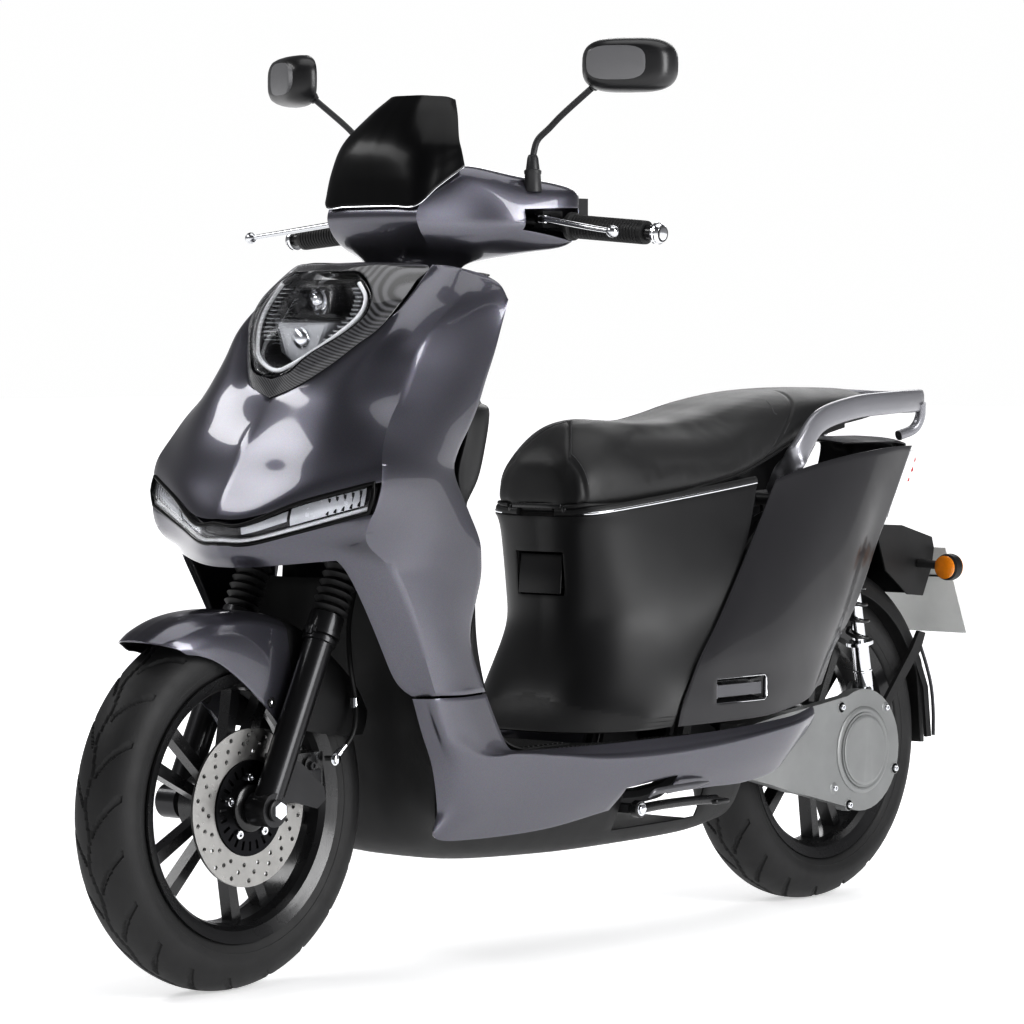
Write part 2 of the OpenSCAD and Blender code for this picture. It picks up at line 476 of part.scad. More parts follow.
// slider tube of the left leg with its axle lug
module fork_leg() {
  on_axis() difference() {
    union() {
      translate([fork_x, fork_back, fork_axle_s]) cylinder(h = leg_top_s - fork_axle_s, r = fork_leg_r);
      translate([fork_x, fork_back, leg_top_s - 26]) cylinder(h = 26, r = fork_leg_r + 3.5);
      across([fork_x + 2, fork_back, fork_axle_s], 24, 36);
    }
    leg_bore();
    across([fork_x, fork_back, fork_axle_s], axle_r, 60);
  }
}
module fork_legs() color(steel) rig() {
  both() fork_leg();
  // lug of the brake caliper on the left leg
  difference() {
    side_plate([[-662, 268], [-610, 262], [-566, 250], [-548, 262], [-552, 280], [-600, 318], [-628, 330]], 78, 8);
    on_axis() leg_bore();
  }
}
module fork_tubes() color(silver) rig()
  both() on_axis() translate([fork_x, fork_back, tube_bottom_s]) cylinder(h = tube_top_s - tube_bottom_s, r = fork_tube_r);

module steering_stem() color(steel) rig() on_axis() {
  difference() {
    union() {
      translate([0, 0, crown_s]) cylinder(h = stem_top_s - crown_s, r = stem_r);
      translate([0, 0, crown_s]) cylinder(h = crown_h, r = 30);
      both() translate([fork_x, fork_back, crown_s]) cylinder(h = crown_h, r = 26);
      translate([-fork_x, fork_back - 16, crown_s]) cube([2 * fork_x, 44, crown_h]);
      translate([0, 0, stem_top_s - 30]) cylinder(h = 30, r = 22);
    }
    both() translate([fork_x, fork_back, crown_s - 1]) cylinder(h = crown_h + 2, r = fork_tube_r);
  }
}

boot_s = [leg_top_s + 3, crown_s - 3];
boot_ribs = 8;
module fork_boots() color(rubber) rig() both() on_axis() translate([fork_x, fork_back, 0])
  rotate_extrude() polygon(concat(
    [[fork_tube_r + 1.5, boot_s[0]]],
    [for (i = [0 : 2 * boot_ribs]) [i % 2 == 0 ? 20.5 : 26.5, boot_s[0] + (boot_s[1] - boot_s[0]) * i / (2 * boot_ribs)]],
    [[fork_tube_r + 1.5, boot_s[1]]]));

module front_axle() color(silver) rig() {
  across(front_axle_at, axle_r, 222);
  both() translate(front_axle_at + [107, 0, 0]) rotate([0, 90, 0]) cylinder(h = 9, r = 12.5, $fn = 6);
}

module front_fender() color(gunmetal) rig() sheet_pair(fender_rows, side = -1);

caliper_at = [disc_x, -566, 292];
module front_caliper() color(black) rig() difference() {
  union() {
    translate(caliper_at + [-17, -27, -30]) cube([34, 52, 66]);
    translate(caliper_at + [12, -4, -14]) rotate([0, 90, 0]) cylinder(h = 9, r = 15);
    translate(caliper_at + [12, -2, 18]) rotate([0, 90, 0]) cylinder(h = 9, r = 13);
  }
  across(front_axle_at + [disc_x, 0, 0], disc_r + 3, 8);
}

hose_points = [
  [72, -540, 318], [84, -528, 322], [88, -498, 352], [74, -478, 396], [70, -484, 446], [54, -470, 500], [48, -452, 548]
];
module brake_hose() color(rubber) rig() sweep(hose_points, 4, 4, n = 8, k = 3, up = [1, 0, 0]);

// ---------------------------------------------------------------- handlebar group

bend_half = [[186, -151.8, 1069.4], [170, -158, 1071.6], [100, -212, 1082], [50, -225, 1084.4]];
bend_path = concat(bend_half, [bar_points[0]], [for (i = [3 : -1 : 0]) [-bend_half[i].x, bend_half[i].y, bend_half[i].z]]);
bend_r = bar_r - 0.6;
// straight end of the bar starts inside the bent part
function bar_at(x) = bar_points[2] + (x - bar_points[2].x) / grip_dir.x * grip_dir;
module handlebar() color(black) rig() {
  sweep(bend_path, bend_r, bend_r, n = 14, k = 3);
  both() {
    rod(bar_at(179), bar_points[3], bar_r);
    translate(bar_points[3]) aim(grip_dir) cylinder(h = 12, r1 = 15, r2 = 11);
    // perch of the lever
    difference() {
      translate([168, -198, 1066]) cube([16, 44, 24]);
      translate(lever_pivot + [0, 0, -6.5]) cylinder(h = 13, r = 13);
    }
    translate(lever_pivot + [0, 0, -12]) cylinder(h = 24, r = 3);
  }
  on_axis(stem_top_s + 1) cylinder(h = 24, r = 22);
}

grip_dir = unit(bar_points[3] - bar_points[2]);
function grip_at(d) = bar_points[2] + d * grip_dir;
grip_len = 134;
module grip() difference() {
  union() {
    translate(grip_at(22)) aim(grip_dir) cylinder(h = grip_len, r = grip_r);
    translate(grip_at(18)) aim(grip_dir) cylinder(h = 8, r = grip_r + 4);
  }
  translate(grip_at(10)) aim(grip_dir) cylinder(h = grip_len + 40, r = bar_r + run_gap);
}
module grip_left() color(rubber) rig() grip();
module throttle_grip() color(rubber) rig() mirror([1, 0, 0]) grip();

lever_pivot = [176, -190, 1078];
lever_points = [[184, -200, 1078], [206, -212, 1077], [250, -224, 1071], [300, -236, 1064], [346, -244, 1058]];
module lever() difference() {
  union() {
    sweep(lever_points, 6, 4.5, n = 10, k = 3);
    translate([352, -245, 1057]) sphere(r = 8.5);
    translate(lever_pivot + [0, 0, -6]) cylinder(h = 12, r = 11);
  }
  translate(lever_pivot + [0, 0, -8]) cylinder(h = 16, r = 3 + run_gap);
}
module lever_left() color(silver) rig() lever();
module lever_right() color(silver) rig() mirror([1, 0, 0]) lever();

module handlebar_cover() color(gunmetal) rig() sheet_pair(cover_rows, side = -1, open = cover_open);
module windscreen() color(black) rig() sheet_pair(screen_rows, side = -1, t = 3);

// display housing that closes the top of the handlebar cover
dash_outline = [[84, -232, 1147], [95, -198, 1137], [104, -152, 1126], [74, -130, 1120], [0, -127, 1118]];
dash_front = [[0, -262, 1147], [38, -260, 1147], [70, -252, 1148]];
dash_half = concat(dash_front, dash_outline);
module dash_panel() color(black) rig() {
  outline = concat(dash_half, [for (i = [len(dash_half) - 2 : -1 : 1]) [-dash_half[i].x, dash_half[i].y, dash_half[i].z]]);
  loft([[for (p = outline) p - [0, 0, 14]], outline,
        [for (p = outline) [p.x * 0.8, (p.y + 190) * 0.8 - 190, p.z + 3]]]);
}

pod_at = [150, -94, 1094];
module switch_pods() color(black) rig() both() difference() {
  translate(pod_at + [-24, -14, -16]) cube([48, 24, 32]);
  translate(pod_at + [-9.2, 2, -7.2]) cube([18.4, 10, 14.4]);
}
module button() translate(pod_at + [-9, 5.5, -7]) cube([18, 7.5, 14]);
module horn_button() color(silver) rig() button();
module start_button() color([0.7, 0.1, 0.08]) rig() mirror([1, 0, 0]) button();

mirror_ball = [275, -190, 1268];
stem_points = [[165, -198, 1160], [166, -196, 1176], [172, -192, 1196], [215, -190, 1228], [268, -190, 1263]];
module mirror_stems() color(black) rig() both() {
  sweep(stem_points, 5, 5, n = 10, k = 3);
  translate([165, -198, 1140]) cylinder(h = 30, r1 = 11, r2 = 7.5);
  translate(mirror_ball) sphere(r = 9);
}
// rings of the mirror's shell run along its own line of sight; the shell is turned inwards
mirror_half_w = 69;
mirror_half_h = 39;
mirror_mid = [328, -180, 1295];
mirror_turn = 28;
function mirror_ring(y, s) = [for (a = [0 : 15 : 345])
  let (c = cos(a), d = sin(a))
  [mirror_half_w * s * sign(c) * pow(abs(c), 0.55), y, mirror_half_h * s * sign(d) * pow(abs(d), 0.6)]];
module mirror_head() difference() {
  translate(mirror_mid) rotate([0, 0, mirror_turn])
    loft([mirror_ring(17, 0.95), mirror_ring(14, 1), mirror_ring(-2, 0.97), mirror_ring(-18, 0.84), mirror_ring(-24, 0.62)]);
  translate(mirror_ball) sphere(r = 9.6);
  // slot for the stem
  translate(mirror_ball) aim(stem_points[3] - mirror_ball) cylinder(h = 44, r1 = 7, r2 = 17);
}
module mirror_left() color(black) rig() mirror_head();
module mirror_right() color(black) rig() mirror([1, 0, 0]) mirror_head();

// ---------------------------------------------------------------- front body

module front_shield() color(gunmetal) rig() sheet_pair(shield_rows, side = 1, open = shield_open);
module drl_lens() color([0.9, 0.9, 0.92]) rig() sheet_pair(drl_rows, side = 1, t = 3);
module headlight_surround() color(black) rig() sheet_pair(surround_rows, side = 1, t = 2);
module headlight_lens() color([0.85, 0.87, 0.9, 0.5]) rig() sheet_pair(lens_rows, side = 1, t = 2);

module headlight_unit() color(black) rig() {
  translate([-70, -440, 900]) cube([140, 26, 84]);
  difference() {
    translate([-26, -482, 944]) cube([52, 46, 34]);
    translate([-20, -484, 949]) cube([40, 30, 24]);
  }
  translate([0, -434, 961]) rotate([90, 0, 0]) cylinder(h = 34, r = 11);
  difference() {
    translate([-30, -505, 900]) cube([60, 70, 36]);
    translate([-25, -507, 904]) cube([50, 40, 28]);
  }
  translate([0, -434, 918]) rotate([90, 0, 0]) cylinder(h = 50, r = 13);
}

// rows run around the steering neck from its front, columns from the neck out
collar_rows = [
  [[0, -356, 1002], [0, -387, 1005], [0, -426, 1006]],
  [[42, -345, 1002], [48, -375, 1005], [56, -414, 1006]],
  [[73, -316, 1002], [90, -335, 1003], [112, -360, 1003]],
  [[85, -274, 1001], [104, -285, 999], [134, -300, 994]],
  [[80, -230, 1000], [96, -234, 999], [112, -232, 996]],
  [[60, -206, 1000], [60, -201, 1000], [60, -196, 1000]]
];
module inner_leg_shield() color(black) rig() {
  sheet_pair(inner_rows, side = -1);
  sheet_pair(collar_rows, side = -1);
}
module belly_pan() color(black) rig() sheet_pair(belly_rows, side = 1, open = belly_open, right_open = []);
module side_skirts() color(gunmetal) rig() {
  sheet(skirt_rows, side = -1, open = stand_notch);
  sheet(mirrored(skirt_rows), side = 1);
}

mat_z = 305.5;
module floor_mat() color(rubber) rig() {
  translate([-120, -160, mat_z]) cube([240, 100, 3]);
  for (i = [0 : 8]) translate([-120, -158 + 11 * i, mat_z + 2]) cube([240, 5, 3]);
}

// ---------------------------------------------------------------- frame

pivot_pin_r = 8;
rail_r = 13;
rail_points = [
  [42, -384, 738], [61, -366, 640], [80, -350, 520], [88, -335, 400], [90, -300, 290], [90, -230, 222], [90, -100, 214],
  [90, 60, 214], [90, 180, 218], [88, 236, 260], [86, 270, 380], [84, 330, 520], [82, 430, 612], [78, 560, 640],
  [72, 700, 648], [62, 792, 654]
];
module frame() color(steel) rig() {
  difference() {
    union() {
      on_axis() translate([0, 0, head_s[0]]) cylinder(h = head_s[1] - head_s[0], r = 26);
      both() sweep(rail_points, rail_r, rail_r, n = 8, k = 2, up = [1, 0, 0]);
      // gusset below the head tube
      translate([-44, -378, 716]) cube([88, 34, 52]);
    }
    on_axis() translate([0, 0, head_s[0] - 60]) cylinder(h = 320, r = stem_r + run_gap);
    on_axis() translate([0, 0, head_s[0] + 14]) cylinder(h = head_s[1] - head_s[0] - 28, r = 21);
  }
  // cross members
  for (c = [[-240, 226], [100, 215], [300, 450], [640, 646], [770, 651]])
    across([0, c[0], c[1]], 10, 168);
  // plates and pin of the swinging arm
  both() side_plate([[232, 262], [318, 262], [340, 263], [356, 270], [362, 285], [356, 300], [340, 307], [318, 310], [250, 330]], 64, 8);
  across([0, swing_pivot.y, swing_pivot.z], pivot_pin_r, 146);
  // brackets and studs of the rear shocks
  both() {
    side_plate([[640, 640], [700, 640], [690, 600], [650, 598]], 60, 6);
    across([76, shock_top.y, shock_top.z], 6, 34);
  }
  // bracket of the side stand
  translate([96, 30, 200]) cube([62, 24, 12]);
  across([165, 42, 206], 5, 20);
  // hinge pin of the seat
  across([0, seat_hinge.y, seat_hinge.z], 4, 112);
  both() {
    side_plate([[8, 657], [20, 657], [28, 640], [60, 560], [64, 480], [50, 480], [44, 560], [18, 641.5], [8, 645]], 52, 5);
    rod([60, 57, 486], [84, 326, 518], 4.5);
  }
  across([0, 57, 486], 6, 140);
}
seat_hinge = [0, 14, 652];

module battery_pack() color([0.15, 0.16, 0.18]) rig() {
  translate([-68, -215, 176]) cube([136, 280, 112]);
  translate([-40, -170, 287]) cube([80, 14, 12]);
}

// ---------------------------------------------------------------- rear body

tray_wall = 2.5;
module underseat_body() color(black) rig() {
  sheet_pair(under_rows, side = 1, open = under_open);
  // tray with the charging socket behind the lid
  difference() {
    translate([-46, 16.5, 516]) cube([92, 44, 74]);
    translate([-46 + tray_wall, 10, 516 + tray_wall]) cube([92 - 2 * tray_wall, 48, 74 - 2 * tray_wall]);
  }
  translate([0, 59, 552]) rotate([90, 0, 0]) cylinder(h = 22, r = 19);
}
lid_hinge = [0, 17.5, 585];
module charge_lid() color(black) rig() {
  translate([0, 16.4, 552.5]) rotate([-5, 0, 0]) cube([82, 3, 60], center = true);
}

module peg_pocket() {
  difference() {
    translate([166, 190, 350]) cube([24.5, 138, 46]);
    translate([169, 193, 353]) cube([30, 132, 40]);
  }
  translate(peg_pivot - [0, 0, 20]) cylinder(h = 22 * 2 - 3, r = 3);
}
module side_panel() {
  sheet(side_rows, side = -1, open = side_open);
  peg_pocket();
}
module side_panel_left() color(black) rig() side_panel();
module side_panel_right() color(black) rig() mirror([1, 0, 0]) side_panel();

peg_pivot = [181, 205, 372];
module peg() difference() {
  union() {
    translate([175, 205, 363]) cube([13, 112, 18]);
    translate(peg_pivot + [0, 0, -11]) cylinder(h = 22, r = 8);
  }
  translate(peg_pivot + [0, 0, -20]) cylinder(h = 40, r = 3 + run_gap);
}
module footpeg_left() color(silver) rig() peg();
module footpeg_right() color(silver) rig() mirror([1, 0, 0]) peg();

tail_rows = [
  [[0, 660, 742], [46, 660, 740], [86, 664, 736]],
  [[0, 760, 744], [46, 760, 742], [88, 762, 736]],
  [[0, 846, 742], [46, 842, 740], [88, 826, 734]],
  [[0, 868, 730], [46, 862, 729], [84, 834, 724]],
  [[0, 862, 680], [46, 856, 680], [84, 818, 676]],
  [[0, 838, 616], [46, 832, 616], [84, 786, 616]]
];
module tail_cover() color(black) rig() sheet_pair(tail_rows, side = -1);

lamp_half = [[0, 0], [34, 0], [56, -8], [66, -30]];
function lamp_ring(y, z, s, d) = concat(
  [for (p = lamp_half) [p.x * s, y + d + p.y, z]],
  [for (i = [3 : -1 : 0]) [lamp_half[i].x * s, y + lamp_half[i].y, z]],
  [for (i = [1 : 3]) [-lamp_half[i].x * s, y + lamp_half[i].y, z]],
  [for (i = [3 : -1 : 1]) [-lamp_half[i].x * s, y + d + lamp_half[i].y, z]]);
module tail_lamp() color([0.9, 0.9, 0.9]) rig()
  loft([lamp_ring(884, 720, 0.98, 34), lamp_ring(880, 700, 1, 30), lamp_ring(872, 660, 0.94, 18), lamp_ring(859, 610, 0.7, 8)]);

rail_path = [[88, 478, 662], [112, 468, 692], [138, 462, 712], [147, 472, 734], [147, 520, 776], [140, 620, 796],
             [124, 740, 802], [98, 850, 804], [66, 900, 802], [30, 914, 800], [0, 918, 800]];
rail_whole = concat(rail_path, [for (i = [len(rail_path) - 2 : -1 : 0]) [-rail_path[i].x, rail_path[i].y, rail_path[i].z]]);
module grab_rail() color(silver) rig() {
  sweep(rail_whole, 7.5, 18, n = 10, k = 2, up = [0, 0, 1]);
  both()
  sweep([[100, 860, 800], [94, 866, 776], [88, 856, 757], [80, 826, 747]], 8, 8, n = 8, k = 2, up = [1, 0, 0]);
}

module plate_bracket() color(black) rig() difference() {
  translate([-74, 0, 0]) rotate([90, 0, 90]) linear_extrude(148)
    polygon([[770, 604], [845, 600], [930, 578], [936, 560], [930, 530], [905, 482], [862, 486], [800, 528]]);
  translate([-71, 0, 0]) rotate([90, 0, 90]) linear_extrude(142)
    polygon([[740, 601], [845, 597], [926, 576], [932, 560], [926, 531], [896, 460], [740, 460]]);
}
module number_plate() color([0.85, 0.86, 0.86]) rig()
  side_plate([[938, 560], [1000, 416], [1003, 417], [941, 561]], 0, 190);
indicator_at = [128, 906, 531];
module rear_indicators() color([0.95, 0.5, 0.05]) rig() both() {
  translate(indicator_at + [0, -14, 0]) rotate([-90, 0, 0]) cylinder(h = 24, r = 21);
  rod([75.6, 890, 536], [112, 896, 534], 8);
}

// ---------------------------------------------------------------- rear suspension

case_at = [678, 246];
function arc(c, r, a0, a1, n) = [for (i = [0 : n]) let (a = a0 + (a1 - a0) * i / n) c + r * [cos(a), sin(a)]];
case_inner = concat([[372, 306], [372, 232], [436, 212], [541, 184]], arc(case_at, 82, 235, 470, 18), [[560, 316]]);
case_outer = concat([[372, 304], [372, 230], [390, 219], [436, 208], [488, 193], [541, 181]],
                    arc(case_at, 98, 245, 475, 24), [[560, 326], [460, 316]]);
module motor_case() color(cast) rig() difference() {
  union() {
    side_plate(case_inner, 82.5, 33);
    side_plate(case_outer, 108, 20);
    across([119, case_at[0], case_at[1]], 60, 6);
    across([120.5, case_at[0], case_at[1]], 52, 8);
    side_plate(arc([718, 338], 14, 0, 360, 16), 70, 8);
    for (p = [[620, 318], [640, 160], [765, 210]]) across([108, p[0], p[1]], 9, 22);
  }
  across(rear_axle_at, axle_r + 0.02, 240);
  across([84, shock_low.y, shock_low.z], 6, 40);
}

module swingarm() color(black) rig() {
  difference() {
    union() {
      across([0, swing_pivot.y, swing_pivot.z], 18, 116);
      translate([-50, 345, 268]) cube([100, 36, 34]);
      translate([-96, 369, 240]) cube([161.5, 34, 64]);
      side_plate(concat([[369, 304], [369, 240], [560, 222]], arc([675, 256], 30, 250, 470, 10), [[560, 300]]), -78, 24);
      side_plate([[640, 270], [712, 270], [732, 334], [730, 350], [708, 350], [700, 330]], -71, 10);
    }
    across([0, swing_pivot.y, swing_pivot.z], pivot_pin_r + run_gap, 130);
    across(rear_axle_at, axle_r, 240);
  }
  both() across([87, shock_low.y, shock_low.z], 5.98, 24);
}
module rear_axle() color(silver) rig() {
  across(rear_axle_at, axle_r, 206);
  translate(rear_axle_at + [-103, 0, 0]) rotate([0, 90, 0]) cylinder(h = 10, r = 13, $fn = 6);
}

hugger_half = [[0, 288], [32, 286], [54, 274], [62, 246]];
hugger_rows = concat(
  [for (a = [104 : -15 : 29]) [for (p = hugger_half) [p[0], rear_axle_at.y + p[1] * cos(a), rear_axle_at.z + p[1] * sin(a)]]],
  [[[0, 941, 350], [32, 940, 350], [52, 932, 350], [58, 908, 348]],
   [[0, 950, 235], [30, 949, 235], [46, 944, 236], [50, 930, 238]]]);
module rear_hugger() color(black) rig() {
  sheet_pair(hugger_rows, side = -1);
  // struts down to the case and the arm
  both() {
    side_plate([[790, 300], [812, 300], [905, 392], [918, 420], [900, 424], [880, 396]], 67.5, 7);
    side_plate([[764, 300], [812, 300], [816, 252], [766, 252]], 67.5, 7);
    side_plate([[884, 398], [902, 398], [936, 330], [945, 246], [932, 246], [922, 330]], 61, 6);
  }
}

shock_dir = unit(shock_top - shock_low);
function shock_at(d) = shock_low + d * shock_dir;
shock_len = norm(shock_top - shock_low);
module shock_bodies() color(silver) rig() both() difference() {
  union() {
    across([88.5, shock_low.y, shock_low.z], 13, 17);
    translate(shock_at(8)) aim(shock_dir) cylinder(h = 70, r = 14);
    translate(shock_at(76)) aim(shock_dir) cylinder(h = 6, r = 22);
    translate(shock_at(80)) aim(shock_dir) cylinder(h = 90, r = 11);
  }
  across([88.5, shock_low.y, shock_low.z], 7, 30);
  translate(shock_at(40)) aim(shock_dir) cylinder(h = 200, r = 6 + run_gap);
}
module shock_rods() color(silver) rig() both() difference() {
  union() {
    translate(shock_at(110)) aim(shock_dir) cylinder(h = shock_len - 110, r = 6);
    translate(shock_at(shock_len - 22)) aim(shock_dir) cylinder(h = 8, r = 22);
    across([84, shock_top.y, shock_top.z], 12, 18);
  }
  across([84, shock_top.y, shock_top.z], 6.02, 30);
}
spring_r = 17.5;
module shock_springs() color(black) rig() both() {
  from = 84;
  rise = shock_len - 24 - from - 2 * spring_wire_r - 2;
  steps = 12 * spring_turns;
  u = unit(cross([1, 0, 0], shock_dir));
  pts = [for (i = [0 : steps]) shock_at(from + 1 + spring_wire_r + rise * i / steps)
    + spring_r * (cos(360 * i / 12) * [1, 0, 0] + sin(360 * i / 12) * u)];
  sweep(pts, spring_wire_r, spring_wire_r, n = 6, k = 1, up = shock_dir);
}

// ---------------------------------------------------------------- seat and stand

function whole(r) = concat(r, [for (i = [len(r) - 2 : -1 : 1]) [-r[i].x, r[i].y, r[i].z]]);
module seat_cushion() color(black) rig() {
  g = patch(seat_half, 2);
  loft([for (r = g) whole(r)]);
}
pan_half = [[34, 40, 664.4], [60, 98, 666.5], [90, 250, 682], [100, 330, 692.5], [92, 410, 712], [80, 512, 740.5], [64, 700, 771]];
module seat_pan() color(black) rig() difference() {
  union() {
    loft([for (p = pan_half) [[-p.x, p.y, p.z], [p.x, p.y, p.z], [p.x, p.y, p.z - 9], [-p.x, p.y, p.z - 9]]]);
    across([0, seat_hinge.y, seat_hinge.z], 7, 58);
    translate([-28, 14, 649]) cube([56, 40, 9]);
  }
  across([0, seat_hinge.y, seat_hinge.z], 4 + run_gap, 70);
}

stand_pivot = [168, 42, 206];
module side_stand() color(silver) rig() difference() {
  union() {
    across([168, 42, 206], 13, 12);
    sweep([[168, 48, 206], [168, 100, 208], [168, 170, 208], [168, 228, 206]], 7, 8, n = 10, k = 2, up = [1, 0, 0]);
    translate([154, 214, 199]) cube([28, 34, 8]);
  }
  across([168, 42, 206], 5 + run_gap, 30);
}

frame();
front_shield();
headlight_surround();
headlight_lens();
headlight_unit();
drl_lens();
inner_leg_shield();
belly_pan();
side_skirts();
floor_mat();
underseat_body();
side_panel_left();
side_panel_right();
tail_cover();
tail_lamp();
grab_rail();
plate_bracket();
number_plate();
rear_indicators();
battery_pack();
charge_lid();
steering_stem();
handlebar();
handlebar_cover();
windscreen();
dash_panel();
grip_left();
switch_pods();
mirror_stems();
fork_tubes();
fork_boots();
horn_button();
start_button();
fork_legs();
front_axle();
front_fender();
front_caliper();
brake_hose();
front_rim();
front_tyre();
front_disc();
motor_case();
swingarm();
rear_axle();
rear_hugger();
rear_rim();
rear_tyre();
shock_bodies();
shock_springs();
shock_rods();
seat_cushion();
seat_pan();
side_stand();
lever_left();
lever_right();
throttle_grip();
mirror_left();
mirror_right();
footpeg_left();
footpeg_right();
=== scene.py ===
"""Visual model of an electric moped scooter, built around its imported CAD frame.

Tables are in millimetres from the middle of the wheelbase; mm() turns them into the frame.
"""
import math
import bpy
import bmesh
import numpy as np
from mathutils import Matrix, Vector
from mathutils.bvhtree import BVHTree


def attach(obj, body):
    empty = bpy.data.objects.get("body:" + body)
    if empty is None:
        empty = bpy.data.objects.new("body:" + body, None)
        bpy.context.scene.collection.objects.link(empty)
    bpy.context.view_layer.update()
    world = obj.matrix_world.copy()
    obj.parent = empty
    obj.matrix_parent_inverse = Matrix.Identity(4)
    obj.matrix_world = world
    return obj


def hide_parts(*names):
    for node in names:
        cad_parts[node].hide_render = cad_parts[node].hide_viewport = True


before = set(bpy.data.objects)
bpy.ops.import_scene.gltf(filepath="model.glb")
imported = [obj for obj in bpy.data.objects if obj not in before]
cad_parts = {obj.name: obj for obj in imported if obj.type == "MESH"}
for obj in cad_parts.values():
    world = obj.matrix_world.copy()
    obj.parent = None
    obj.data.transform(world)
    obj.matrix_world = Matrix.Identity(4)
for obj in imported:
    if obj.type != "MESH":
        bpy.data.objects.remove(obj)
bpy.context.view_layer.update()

SHIFT = -36.0            # wheelbase middle to the frame's origin, mm
FRONT_AXLE = np.array([0.0, -675.0, 258.0])
REAR_AXLE = np.array([0.0, 675.0, 256.0])
CASTER = math.radians(26)
scene = bpy.context.scene

# ------------------------------------------------------------------ control tables, mm

SHIELD_ROWS = [
    [(124, -372, 1010), (128, -350, 1009), (138, -332, 1006), (152, -302, 998), (174, -285, 984),
     (190, -282, 961)],
    [(138, -445, 958), (146, -434, 960), (156, -412, 960), (170, -372, 955), (184, -325, 942),
     (192, -300, 926)],
    [(126, -482, 919), (144, -482, 920), (162, -470, 918), (177, -440, 912), (190, -365, 900),
     (193, -318, 886)],
    [(106, -506, 896), (130, -508, 894), (154, -496, 888), (178, -466, 880), (194, -388, 866),
     (194, -338, 848)],
    [(79, -535, 866), (112, -540, 862), (146, -527, 858), (182, -490, 852), (199, -405, 836),
     (195, -356, 812)],
    [(43, -564, 837), (88, -568, 832), (136, -560, 828), (188, -512, 820), (204, -431, 806),
     (196, -376, 782)],
    [(0, -572, 821), (66, -582, 812), (132, -580, 802), (195, -540, 795), (207, -455, 780), (196, -394, 758)],
    [(0, -624, 762), (60, -622, 757), (128, -612, 752), (203, -562, 763), (210, -470, 752), (196, -404, 740)],
    [(0, -650, 708), (52, -640, 704), (124, -630, 712), (214, -578, 737), (211, -478, 732), (196, -408, 726)],
    [(0, -686, 655), (46, -680, 654), (120, -641, 685), (220, -582, 714), (213, -480, 710), (196, -403, 706)],
    [(0, -675, 618), (46, -664, 619), (108, -634, 635), (212, -593, 664), (209, -474, 668), (196, -378, 664)],
    [(0, -670, 603), (50, -666, 604), (132, -612, 621), (195, -598, 630), (205, -462, 628), (196, -354, 622)],
    [(0, -655, 590), (55, -652, 591), (160, -593, 604), (192, -548, 602), (204, -446, 596), (196, -350, 590)],
    [(0, -655, 575), (55, -650, 576), (166, -572, 580), (193, -530, 580), (203, -438, 572), (196, -352, 566)],
    [(0, -655, 545), (55, -640, 545), (168, -547, 545), (194, -508, 545), (203, -430, 540), (196, -361, 538)],
    [(0, -655, 505), (55, -620, 505), (168, -520, 502), (195, -485, 502), (202, -425, 498), (196, -373, 500)],
    [(0, -655, 460), (55, -600, 460), (168, -493, 458), (195, -466, 458), (202, -418, 455), (196, -370, 464)],
    [(0, -655, 410), (55, -580, 410), (168, -464, 407), (196, -445, 407), (201, -395, 405), (196, -342, 406)]]

SKIRT_ROWS = [
    [(196, -340, 403), (201, -394, 402), (196, -443, 403), (183, -455, 403), (168, -462, 403)],
    [(196, -314, 356), (201, -372, 356), (197, -426, 358), (184, -434, 356), (168, -443, 355)],
    [(196, -292, 324), (201, -352, 330), (199, -405, 330), (186, -412, 312), (168, -420, 302)],
    [(196, -272, 316), (201, -318, 316), (201, -362, 310), (190, -388, 270), (168, -411, 240)],
    [(196, -240, 314), (201, -262, 312), (202, -285, 306), (188, -352, 240), (168, -417, 203)],
    [(196, -180, 313), (201, -182, 306), (203, -188, 298), (190, -265, 240), (172, -340, 195)],
    [(196, -90, 312), (201, -90, 300), (204, -92, 288), (193, -130, 240), (177, -190, 197)],
    [(196, 0, 312), (201, 0, 298), (204, 0, 284), (194, -20, 245), (180, -45, 213)],
    [(196, 100, 312), (201, 100, 299), (204, 100, 285), (195, 100, 255), (181, 92, 227)],
    [(194, 200, 313), (199, 200, 302), (202, 200, 289), (194, 198, 258), (180, 190, 229)],
    [(190, 300, 316), (196, 300, 306), (199, 300, 297), (190, 296, 262), (176, 285, 229)],
    [(184, 400, 322), (189, 400, 314), (191, 400, 306), (182, 388, 272), (170, 372, 240)],
    [(170, 470, 332), (174, 468, 324), (175, 464, 314), (170, 446, 290), (164, 420, 268)]]

SIDE_ROWS = [
    [(163, 383, 688), (170, 330, 622), (180, 268, 550), (188, 205, 478), (192, 158, 428), (193, 134, 392),
     (193, 112, 354), (190, 106, 326)],
    [(159, 425, 697), (169, 384, 630), (181, 330, 552), (190, 268, 480), (194, 218, 428), (193, 194, 392),
     (193, 194, 354), (189, 196, 326)],
    [(150, 505, 709), (163, 468, 634), (176, 424, 554), (185, 380, 482), (189, 344, 428), (188, 324, 392),
     (188, 324, 354), (185, 322, 327)],
    [(140, 590, 719), (152, 556, 638), (163, 518, 556), (171, 482, 484), (174, 452, 432), (174, 430, 396),
     (174, 416, 358), (173, 408, 334)],
    [(126, 690, 727), (135, 655, 642), (144, 618, 560), (152, 578, 488), (155, 540, 438), (157, 512, 404),
     (160, 486, 368), (162, 468, 344)],
    [(112, 770, 731), (117, 720, 645), (122, 672, 566), (128, 628, 500), (134, 590, 448), (139, 552, 410),
     (147, 520, 378), (153, 500, 358)],
    [(96, 838, 731), (104, 778, 650), (110, 722, 575), (117, 675, 510), (122, 632, 460), (124, 590, 418),
     (136, 552, 384), (145, 526, 362)]]

